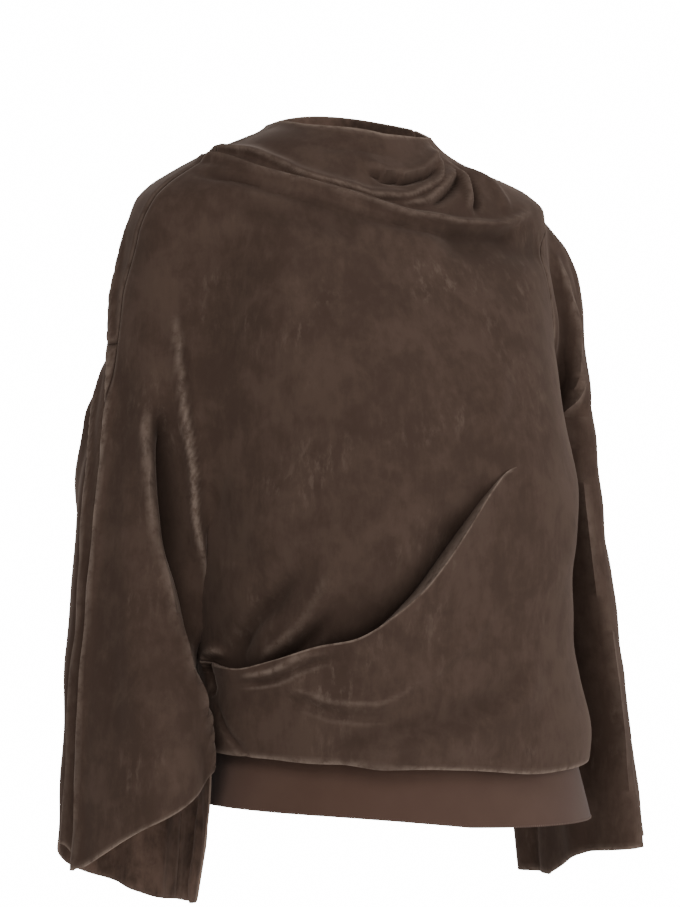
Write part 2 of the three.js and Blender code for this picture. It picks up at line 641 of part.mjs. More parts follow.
// A piece's corner, drawn back from the seam far enough to leave the gap to each neighbour.
function drawnBack(name, corner) {
  const point = middle[corner].clone();
  const way = pieces[name].ways.get(corner);
  if (!way) return point;
  let move = 0;
  for (const other of pieceNames) {
    const theirs = other !== name && pieces[other].ways.get(corner);
    if (!theirs) continue;
    const apart = way.clone().sub(theirs).length() / 2;
    move = Math.max(move, seamGap / 2 / Math.max(apart, leastApart));
  }
  return point.addScaledVector(way, move);
}

function pieceMesh(name, thickness, material) {
  const { own, rim } = pieces[name];
  const numbers = new Map();
  const positions = [];
  const cornerOf = (corner, side) => {
    const key = corner * 2 + (side > 0 ? 1 : 0);
    if (!numbers.has(key)) {
      numbers.set(key, numbers.size);
      const point = drawnBack(name, corner).addScaledVector(normals[corner], (side * thickness) / 2);
      positions.push(point.x, point.y, point.z);
    }
    return numbers.get(key);
  };
  const index = [];
  for (const { corners } of own) {
    const outer = corners.map((corner) => cornerOf(corner, 1));
    const inner = corners.map((corner) => cornerOf(corner, -1));
    index.push(...outer, inner[0], inner[2], inner[1]);
  }
  for (const [a, b] of rim) {
    const outerA = cornerOf(a, 1);
    const outerB = cornerOf(b, 1);
    const innerA = cornerOf(a, -1);
    const innerB = cornerOf(b, -1);
    // Both sides of a seam split their edge faces the same way, so that the gap between them stays even.
    if (a < b) index.push(outerB, outerA, innerB, outerA, innerA, innerB);
    else index.push(outerB, outerA, innerA, outerB, innerA, innerB);
  }
  const geometry = new THREE.BufferGeometry();
  geometry.setAttribute("position", new THREE.Float32BufferAttribute(positions, 3));
  geometry.setIndex(index);
  geometry.computeVertexNormals();
  const mesh = new THREE.Mesh(geometry, material);
  mesh.name = name;
  return mesh;
}

const velvet = new THREE.MeshStandardMaterial({ color: velvetColour, roughness: 0.85, metalness: 0 });
const jersey = new THREE.MeshStandardMaterial({ color: bandColour, roughness: 0.9, metalness: 0 });
const group = new THREE.Group();
group.name = "draped_velvet_top";
for (const name of pieceNames) {
  const isBand = name === "waistband";
  group.add(pieceMesh(name, isBand ? bandThickness : velvetThickness, isBand ? jersey : velvet));
}
export default group;
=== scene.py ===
import math

import bpy
import numpy as np
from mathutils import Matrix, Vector


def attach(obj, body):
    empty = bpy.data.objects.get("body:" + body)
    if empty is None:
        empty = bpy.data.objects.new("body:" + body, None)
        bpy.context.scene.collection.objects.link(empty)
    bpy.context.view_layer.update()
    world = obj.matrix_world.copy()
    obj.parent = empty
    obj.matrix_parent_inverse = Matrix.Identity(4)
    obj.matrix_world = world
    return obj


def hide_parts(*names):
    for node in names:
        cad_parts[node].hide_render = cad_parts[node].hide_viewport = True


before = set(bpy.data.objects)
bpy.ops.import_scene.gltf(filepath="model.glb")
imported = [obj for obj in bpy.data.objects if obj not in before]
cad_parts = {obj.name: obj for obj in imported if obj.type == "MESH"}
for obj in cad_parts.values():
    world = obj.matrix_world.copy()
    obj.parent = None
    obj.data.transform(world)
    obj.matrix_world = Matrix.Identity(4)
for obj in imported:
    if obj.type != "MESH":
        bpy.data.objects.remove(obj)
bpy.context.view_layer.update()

# The camera stands 30 degrees to the top's own right of straight ahead, a little above its middle.
view = {"azimuth": -30, "distance": 2.8, "height": -0.236, "lens": 132.3}


def placeCamera():
    data = bpy.data.cameras.new("camera")
    data.lens = view["lens"]
    data.sensor_width = 36
    data.clip_end = 30
    camera = bpy.data.objects.new("camera", data)
    bpy.context.scene.collection.objects.link(camera)
    turn = math.radians(view["azimuth"])
    away = Vector((math.sin(turn), -math.cos(turn), 0)) * view["distance"]
    camera.location = away + Vector((0, 0, view["height"]))
    camera.rotation_euler = (math.radians(90), 0, turn)
    bpy.context.scene.camera = camera


placeCamera()
print("camera placed")

# Sizes below are in millimetres. Angles are in degrees, from the centre front towards the top's own left.
velvet = {
    "thickness": 1.9,
    "colour": "#493a32",
    "dark": "#3e3029",
    # painted shade colour, laid into hollows and seams
    "paintedShadeColour": "#201712",
    # the inside's colour: lighter partly as the backing's own colour and partly as painted light on the
    # shaded inner layer
    "litReverse": "#765f53",
    # crush marks, and painted highlight on ridges, hems and seams
    "light": "#918073",
    "sheen": 0.4,
    "sheenColour": "#9c8a7e",
    "hollows": 0.8,  # how dark the painted shade in hollows is
    "marks": 0.12,  # how light the crush marks are
    "ridgeHighlight": 0.6,  # how light the painted highlight along ridges and edges is
    # how strongly each of three patterns shades the pile
    "shading": {"strokes": 0.25, "patches": 0.45, "broad": 0.3},
    # each pattern's size in millimetres, its detail, roughness and bend
    "patterns": {
        "broad": (90, 2, 0.5, 0.3),
        "patches": (26, 5, 0.6, 0.3),
        "strokes": (7, 4, 0.65, 0),
        "marked": (60, 3, 0.55, 0),
        "highlightNoise": (8, 4, 0.65, 0),
        "fibres": (0.7, 2, 0.55, 0),
    },
    "strokeStretch": (1, 1, 0.35),  # strokes run upright
}
jersey = {
    "thickness": 1.7,
    "colour": "#4b372e",
    "light": "#554137",
    "wales": 0.32,
    "cloud": (45, 4),  # the pattern's size in millimetres and its detail
    "fuzz": (0.6, 2),
}

rightUnderarm = -400
leftUnderarm = -205
rightSideSeam = -102
leftSideSeam = 91
underarmFade = 90
underarmClosing = 26
underarmEase = 0.6
bridgeReach = 2.6  # a larger value makes the cloth leave the body less gradually
tuckRound = 0.35
edgeShare = 0.05
joinShare = 0.24
bodyMillimetres = 2.9  # across one degree of the body's outline
sleeveMillimetres = 340  # across a sleeve's whole round


def table(columns, *rows):
    return dict(zip(columns.split(), np.array(rows, float).T))


bodySections = table(
    "z x y left right front back square",
    (52, 0, -2, 62, 58, 54, 54, 2),
    (38, 0, -2, 70, 64, 61, 62, 2),
    (32, 0, -2, 73, 72, 65, 66, 2),
    (26, 0, -2, 77, 86, 68, 70, 2),
    (16, 0, -2, 88, 111, 74, 76, 2),
    (6, 0, -2, 108, 132, 81, 82, 2),
    (-6, 0, -2, 150, 156, 88, 88, 2.05),
    (-17, 0, -2, 174, 173, 94, 93, 2.1),
    (-30, 0, -3, 186, 183, 101, 99, 2.2),
    (-52, 1, -4, 183, 187, 110, 105, 2.3),
    (-86, 2, -7, 177, 179, 122, 111, 2.4),
    (-130, 3, -12, 170, 172, 138, 117, 2.4),
    (-200, 5, -22, 164, 162, 152, 118, 2.5),
    (-256, 7, -30, 164, 159, 156, 114, 2.5),
    (-310, 9, -37, 160, 159, 150, 108, 2.5),
    (-370, 12, -43, 158, 160, 138, 104, 2.4),
    (-420, 13, -48, 164, 160, 134, 106, 2.3),
    (-466, 14, -52, 174, 167, 136, 112, 2.25),
    (-500, 15, -55, 172, 168, 132, 110, 2.2),
)
rightSleeveSections = table(
    "z x y out in front back square",
    (-40, -160, 0, 42, 40, 40, 44, 2),
    (-67, -163, 0, 40, 38, 44, 47, 2),
    (-103, -169, 0, 34, 36, 48, 50, 2),
    (-152, -175, 0, 33, 34, 50, 55, 2),
    (-201, -184, 0, 33, 32, 50, 60, 2),
    (-249, -193, 0, 31, 30, 48, 64, 2.1),
    (-298, -200, -2, 31, 30, 48, 66, 2.1),
    (-347, -203, -6, 34, 34, 58, 70, 2.1),
    (-395, -203, -10, 40, 38, 68, 72, 2.1),
    (-444, -201, -16, 48, 44, 82, 74, 2.2),
    (-520, -204, -18, 50, 47, 82, 76, 2.2),
    (-600, -212, -20, 49, 48, 82, 78, 2.2),
)
leftSleeveSections = table(
    "z x y out in front back square",
    (-30, 168, 0, 37, 28, 34, 34, 2),
    (-45, 170, 0, 41, 26, 40, 39, 2),
    (-67, 172, 0, 45, 26, 50, 47, 2),
    (-95, 176, 0, 45, 24, 61, 55, 2.1),
    (-146, 185, 0, 37, 20, 70, 62, 2.2),
    (-190, 193, 0, 31, 18, 74, 66, 2.2),
    (-224, 198, -2, 28, 20, 76, 68, 2.2),
    (-302, 206, -3, 29, 25, 77, 70, 2.2),
    (-380, 215, -4, 32, 28, 79, 72, 2.2),
    (-458, 225, -5, 32, 28, 81, 74, 2.2),
    (-536, 232, -6, 34, 29, 83, 76, 2.2),
    (-600, 238, -7, 37, 30, 84, 78, 2.2),
)
rightJoin = table(
    "z front back free crease sleeve",
    (52, -46, -122, 96, 0, 0),
    (-14, -46, -122, 96, 0, 0),
    (-60, -46, -124, 98, 0, 0.55),
    (-110, -48, -126, 100, 0, 1),
    (-160, -52, -126, 98, 0, 1),
    (-200, -58, -124, 94, 0, 1),
    (-235, -66, -122, 88, 0.1, 1),
    (-265, -76, -119, 84, 0.4, 1),
    (-300, -86, -116, 77, 0.8, 1),
    (-340, -94, -112, 71, 1, 1),
    (-400, -98, -106, 68, 1, 1),
)
leftJoin = table(
    "z front back free crease sleeve",
    (-30, 90, 90, 125, 1, 0),
    (-40, 76, 102, 120, 1, 0.6),
    (-60, 66, 112, 108, 1, 1),
    (-90, 62, 117, 98, 1, 1),
    (-130, 65, 115, 92, 1, 1),
    (-165, 74, 108, 85, 1, 1),
    (-190, 82, 99, 75, 1, 1),
    (-205, 87, 95, 66, 1, 1),
)
rightHem = table(
    "at z",
    (0, -597), (0.12, -596), (0.16, -588), (0.2, -484), (0.24, -498), (0.28, -512), (0.34, -532), (0.4, -552),
    (0.45, -564), (0.49, -568), (0.53, -550), (0.58, -547), (0.64, -560), (0.7, -578), (0.78, -592),
    (0.88, -600), (1, -597),
)
leftHem = table(
    "at z",
    (0, -600), (0.15, -584), (0.3, -572), (0.45, -560), (0.52, -562), (0.65, -590), (0.8, -602), (1, -602),
)
rightSide = {
    "sign": -1, "sections": rightSleeveSections, "join": rightJoin, "underarm": rightUnderarm,
    "seam": rightSideSeam, "hem": rightHem,
}
leftSide = {
    "sign": 1, "sections": leftSleeveSections, "join": leftJoin, "underarm": leftUnderarm,
    "seam": leftSideSeam, "hem": leftHem,
}

# The front's rows follow these lines, as heights from the top's own right (at 0) to its left (at 1).
frontLines = [
    table("at z", (0, 34), (0.24, 29), (0.37, 26), (0.59, 26), (0.8, 28), (1, 38)),
    table("at z", (0, 0), (0.14, -12), (0.28, -20), (0.43, -14), (0.55, -1), (0.75, 12), (1, 24)),
    table("at z", (0, -13), (0.25, -33), (0.55, -46), (0.77, -45), (1, -30)),
    table("at z", (0, -400), (0.13, -413), (0.2, -405), (0.27, -393), (0.32, -388), (0.36, -378),
          (0.43, -352), (0.49, -320), (0.53, -297), (0.57, -271), (0.62, -249), (0.8, -224), (1, -205)),
    table("at z", (0, -446), (0.3, -454), (0.5, -460), (0.7, -466), (1, -462)),
    table("at z", (0, -472), (0.3, -478), (0.5, -486), (0.7, -493), (0.9, -489), (1, -484)),
]
shoulderLine, wrapLine, edgeLine, seamLine = 2, 3, 5, 6
shoulderRise = table("row z", (0, 4), (1, 15), (2, 18), (2.3, 6), (3, 0))
droppedSeamRow, droppedSeamDip, backRimRise = 2.36, 46, 14

bandTop = {"z": -470, "x": 15, "y": -56, "left": 160, "right": 153, "front": 116, "back": 98, "square": 2.1}
bandBottom = {
    "z": -534, "x": 16, "y": -58, "left": 177, "right": 168, "front": 123, "back": 106, "square": 2.1,
}
bandTilt = {"top": {"left": -3, "right": 6}, "bottom": {"left": -7, "right": 16}}


def smooth(value):
    share = np.clip(value, 0, 1)
    return share * share * (3 - 2 * share)


def mix(a, b, share):
    return a + (b - a) * share


def curve(places, values, where):
    rise = np.diff(values) / np.diff(places)
    slope = np.concatenate([rise[:1], np.zeros(len(rise) - 1), rise[-1:]])
    both = rise[:-1] * rise[1:]
    level = both > 0
    slope[1:-1][level] = 2 * both[level] / (rise[:-1] + rise[1:])[level]
    w = np.clip(where, places[0], places[-1])
    i = np.clip(np.searchsorted(places, w, side="right") - 1, 0, len(places) - 2)
    span = places[i + 1] - places[i]
    s = (w - places[i]) / span
    start = values[i] * (2 * s**3 - 3 * s**2 + 1) + slope[i] * span * (s**3 - 2 * s**2 + s)
    return start + values[i + 1] * (3 * s**2 - 2 * s**3) + slope[i + 1] * span * (s**3 - s**2)


def rowAt(rows, z):
    return {name: curve(-rows["z"], values, -np.asarray(z, float)) for name, values in rows.items()}


def outlinePoint(section, degrees):
    turn = np.radians(degrees)
    across, forward = np.sin(turn), np.cos(turn)
    side = np.where(across > 0, section["left"], section["right"])
    depth = np.where(forward > 0, section["front"], section["back"])
    n = section["square"]
    reach = (np.abs(across / side) ** n + np.abs(forward / depth) ** n) ** (-1 / n)
    return np.stack([section["x"] + across * reach, section["y"] - forward * reach], -1)


def bodyPoint(degrees, z):
    return outlinePoint(rowAt(bodySections, z), degrees)


def sleevePoint(side, turn, z):
    row = rowAt(side["sections"], z)
    outer, inner = row["out"], row["in"]
    row["left"], row["right"] = (outer, inner) if side["sign"] > 0 else (inner, outer)
    return outlinePoint(row, side["sign"] * (turn - 90))


def unit(way):
    return way / np.maximum(np.linalg.norm(way, axis=-1, keepdims=True), 1e-9)


def underarmShare(side, z):
    return np.clip((z - side["underarm"]) / underarmClosing, 0, 1) ** underarmEase


# A sleeve's cloth: share runs from the front of the join, round the sleeve, to the join's back.
def sleeveCloth(side, share, z):
    share, z = np.broadcast_arrays(np.asarray(share, float), np.asarray(z, float))
    level = np.maximum(z, side["underarm"])
    join = rowAt(side["join"], level)
    front = mix(side["seam"], join["front"], underarmShare(side, z))
    back = mix(side["seam"], join["back"], underarmShare(side, z))
    plain = bodyPoint(mix(front, back, share), level)
    inHalf = share <= 0.5
    t = np.clip(np.where(inHalf, share, 1 - share) / joinShare, 0, 1)[..., None]
    free = join["free"]
    turn = mix(free, 360 - free, (share - joinShare) / (1 - 2 * joinShare))
    ring = sleevePoint(side, turn, z)
    way = np.where(inHalf, 1, -1)
    whole = np.where(inHalf, 0, 360)
    step = 2
    angle = np.where(inHalf, front, back)
    below = smooth((side["underarm"] - z) / underarmFade)[..., None]
    end = mix(bodyPoint(angle, level), sleevePoint(side, 0 * z, z), below)
    target = sleevePoint(side, whole + way * free, z)
    ahead = unit(sleevePoint(side, whole + way * (free + step), z) - target)
    smoothWay = unit(bodyPoint(angle + side["sign"] * way * step, level) - bodyPoint(angle, level))
    sharpWay = unit(target - end)
    roundWay = unit(sleevePoint(side, way * step + 0 * z, z) - sleevePoint(side, 0 * z, z))
    leaving = mix(mix(smoothWay, sharpWay, join["crease"][..., None]), roundWay, below)
    gap = np.linalg.norm(target - end, axis=-1, keepdims=True) / bridgeReach
    leave = end + unit(leaving) * gap
    arrive = target - ahead * gap
    u = 1 - t
    bridge = end * u**3 + leave * 3 * u * u * t + arrive * 3 * u * t * t + target * t**3
    return mix(plain, np.where(t >= 1, ring, bridge), join["sleeve"][..., None])


# An edge of the front or back by height. Over the last stretch above an underarm it closes to the side
# seam; the cloth beside the edge follows more slowly.
def pieceEdge(side, end, z, turn=0):
    armhole = rowAt(side["join"], np.maximum(z, side["underarm"]))[end]
    edge = mix(side["seam"], armhole, underarmShare(side, z))
    beside = mix(armhole, side["seam"], smooth((side["underarm"] - z) / underarmFade))
    return turn + edge, turn + beside


def rowDegrees(first, last, across):
    atFirst = (first[0] - first[1])[:, None] * smooth(1 - across / edgeShare)
    atLast = (last[0] - last[1])[:, None] * smooth(1 - (1 - across) / edgeShare)
    return mix(first[1][:, None], last[1][:, None], across[None]) + atFirst + atLast


def frontHeight(row, across):
    row, across = np.broadcast_arrays(np.asarray(row, float), np.asarray(across, float))
    lines = np.stack([curve(line["at"], line["z"], across) for line in frontLines])
    i = np.clip(np.floor(row).astype(int), 0, edgeLine - 1)
    above = np.take_along_axis(lines, i[None], 0)[0]
    below = np.take_along_axis(lines, i[None] + 1, 0)[0]
    return mix(above, below, row - i)


def rightSleeveHeight(row, share):
    toSeam = smooth((row - shoulderLine) / (droppedSeamRow - shoulderLine))
    fromSeam = smooth((wrapLine - row) / (wrapLine - droppedSeamRow))
    dip = droppedSeamDip * toSeam * fromSeam * smooth((share - 0.5) * 2)
    rise = curve(shoulderRise["row"], shoulderRise["z"], row) * smooth(share * 2)
    return frontHeight(row, 0) - dip + rise


def bandPoint(degrees, share):
    section = {name: mix(bandTop[name], bandBottom[name], share) for name in bandTop}
    flat = outlinePoint(section, degrees)
    across = np.sin(np.radians(degrees))
    left = mix(bandTilt["top"]["left"], bandTilt["bottom"]["left"], share)
    right = mix(bandTilt["top"]["right"], bandTilt["bottom"]["right"], share)
    z = section["z"] + np.where(across > 0, left * across, -right * across)
    return np.concatenate([flat, (z + 0 * flat[..., 0])[..., None]], -1)


# Rows are closer together along the cowl and the wrap fold, and end exactly on the lines.
rowSteps = [(0, 1, 16, 1), (1, 2, 22, 1), (2, droppedSeamRow, 46, 1.25), (droppedSeamRow, 3, 76, 0.72),
            (3, 4, 56, 1.35), (4, 5, 12, 1), (5, 6, 10, 1)]
bodyRows = [0.0]
for start, end, count, lean in rowSteps:
    even = np.arange(1, count + 1) / count
    leaning = even**lean if lean >= 1 else 1 - (1 - even) ** (1 / lean)
    bodyRows += list(start + (end - start) * leaning)
bodyRows = np.array(bodyRows)
rowsTo = np.cumsum([0] + [count for _, _, count, _ in rowSteps])
shoulderRow, droppedRow, wrapRow, edgeRow = rowsTo[2], rowsTo[3], rowsTo[4], rowsTo[6]
frontColumns, backColumns, sleeveColumns = 144, 110, 92
lowerRightRows, lowerLeftRows, bandRows = 56, 108, 22

points = []
total = 0


def addPoints(xyz):
    global total
    flat = np.asarray(xyz, float).reshape(-1, 3)
    numbers = np.arange(total, total + len(flat)).reshape(np.asarray(xyz).shape[:-1])
    points.append(flat)
    total += len(flat)
    return numbers


def withHeight(flat, z):
    return np.concatenate([flat, np.broadcast_to(z, flat.shape[:-1])[..., None]], -1)


def tuck(rows, degrees, edge):
    seam = bandPoint(degrees, 0)
    share = ((rows - edgeLine) / (seamLine - edgeLine))[:, None]
    inward = mix(share, 1 - np.cos(share * math.pi / 2), tuckRound)[..., None]
    rolled = mix(edge, seam, inward)
    rolled[..., 2] = mix(edge[..., 2], seam[..., 2], smooth(share))
    return rolled


def bodyGrid(across, heights, firstEdge, lastEdge):
    degrees = rowDegrees(firstEdge, lastEdge, across)
    xyz = withHeight(bodyPoint(degrees, heights), heights)
    rows = bodyRows[edgeRow + 1:]
    rolled = tuck(rows, degrees[-1], xyz[-1][None])
    return np.concatenate([xyz, rolled]), degrees


upperRows = bodyRows[: edgeRow + 1]
acrossFront = np.linspace(0, 1, frontColumns + 1)
heightFront = frontHeight(upperRows[:, None], acrossFront[None])
frontXyz, frontDegrees = bodyGrid(
    acrossFront, heightFront,
    pieceEdge(rightSide, "front", frontHeight(upperRows, 0)),
    pieceEdge(leftSide, "front", frontHeight(upperRows, 1)),
)
frontGrid = addPoints(frontXyz)

shares = np.linspace(0, 1, sleeveColumns + 1)
leftTopRows = bodyRows[shoulderRow: wrapRow + 1]
down = np.arange(1, lowerLeftRows + 1)[:, None] / lowerLeftRows
leftTopZ = np.repeat(frontHeight(leftTopRows, 1)[:, None], sleeveColumns + 1, 1)
leftLowZ = mix(leftUnderarm, curve(leftHem["at"], leftHem["z"], shares)[None], down)
leftZ = np.concatenate([leftTopZ, leftLowZ])
leftGrid = addPoints(withHeight(sleeveCloth(leftSide, shares[None], leftZ), leftZ))
topCount = len(leftTopRows)
leftGrid[0, :] = frontGrid[shoulderRow, -1]
leftGrid[:topCount, 0] = frontGrid[shoulderRow: wrapRow + 1, -1]
leftGrid[topCount - 1:, -1] = leftGrid[topCount - 1:, 0]

rightTopRows = bodyRows[: wrapRow + 1]
rightTopZ = rightSleeveHeight(rightTopRows[:, None], shares[None])
down = np.arange(1, lowerRightRows + 1)[:, None] / lowerRightRows
rightLowZ = mix(rightUnderarm, curve(rightHem["at"], rightHem["z"], shares)[None], down)
rightZ = np.concatenate([rightTopZ, rightLowZ])
rightGrid = addPoints(withHeight(sleeveCloth(rightSide, shares[None], rightZ), rightZ))
rightGrid[: wrapRow + 1, 0] = frontGrid[: wrapRow + 1, 0]
rightGrid[wrapRow:, -1] = rightGrid[wrapRow:, 0]

acrossBack = np.linspace(0, 1, backColumns + 1)
leftEnds = frontHeight(upperRows, 1)
rightEnds = np.where(upperRows <= wrapLine, rightSleeveHeight(np.minimum(upperRows, wrapLine), 1),
                     frontHeight(upperRows, 0))
rise = backRimRise * 4 * acrossBack * (1 - acrossBack) * smooth(1 - upperRows)[:, None]
heightBack = mix(leftEnds[:, None], rightEnds[:, None], smooth(acrossBack)[None]) + rise
backXyz, backDegrees = bodyGrid(
    acrossBack, heightBack,
    pieceEdge(leftSide, "back", leftEnds), pieceEdge(rightSide, "back", rightEnds, 360),
)
backGrid = addPoints(backXyz)
backGrid[:, 0] = frontGrid[:, -1]
backGrid[shoulderRow: wrapRow + 1, 0] = leftGrid[:topCount, -1]
backGrid[:, -1] = frontGrid[:, 0]
backGrid[: wrapRow + 1, -1] = rightGrid[: wrapRow + 1, -1]

base = np.concatenate(points)
seamRing = np.concatenate([frontGrid[-1], backGrid[-1, 1:-1]])
ringTop = base[seamRing]
ringDegrees = np.degrees(np.arctan2(ringTop[:, 0] - bandTop["x"], -(ringTop[:, 1] - bandTop["y"])))
bandShares = (np.arange(1, bandRows + 1) / bandRows)[:, None]
bandXyz = np.concatenate([bandPoint(ringDegrees, share)[None] for share in bandShares[:, 0]])
bandGrid = np.concatenate([seamRing[None], addPoints(bandXyz)])
bandGrid = np.concatenate([bandGrid, bandGrid[:, :1]], 1)
base = np.concatenate(points)
print("cloth laid out,", len(base), "places")


def gridFaces(grid, flip=False):
    a, b, c, d = grid[:-1, :-1], grid[1:, :-1], grid[1:, 1:], grid[:-1, 1:]
    faces = np.stack([a, d, c, b] if flip else [a, b, c, d], -1)
    return faces


half = sleeveColumns // 2
rightFaces = gridFaces(rightGrid, True)
pieceFaces = {
    "front": np.concatenate([gridFaces(frontGrid).reshape(-1, 4), rightFaces[:, :half].reshape(-1, 4)]),
    "back": np.concatenate([
        gridFaces(backGrid).reshape(-1, 4), rightFaces[:droppedRow, half:].reshape(-1, 4),
    ]),
    "right_sleeve_back": rightFaces[droppedRow:, half:].reshape(-1, 4),
    "left_sleeve": gridFaces(leftGrid).reshape(-1, 4),
    "waistband": gridFaces(bandGrid).reshape(-1, 4),
}
allFaces = np.concatenate(list(pieceFaces.values()))


def normalsOf(xyz):
    a, b, c, d = (xyz[allFaces[:, n]] for n in range(4))
    turned = np.cross(c - a, d - b)
    normals = np.zeros_like(xyz)
    for n in range(4):
        np.add.at(normals, allFaces[:, n], unit(turned))
    return unit(normals)


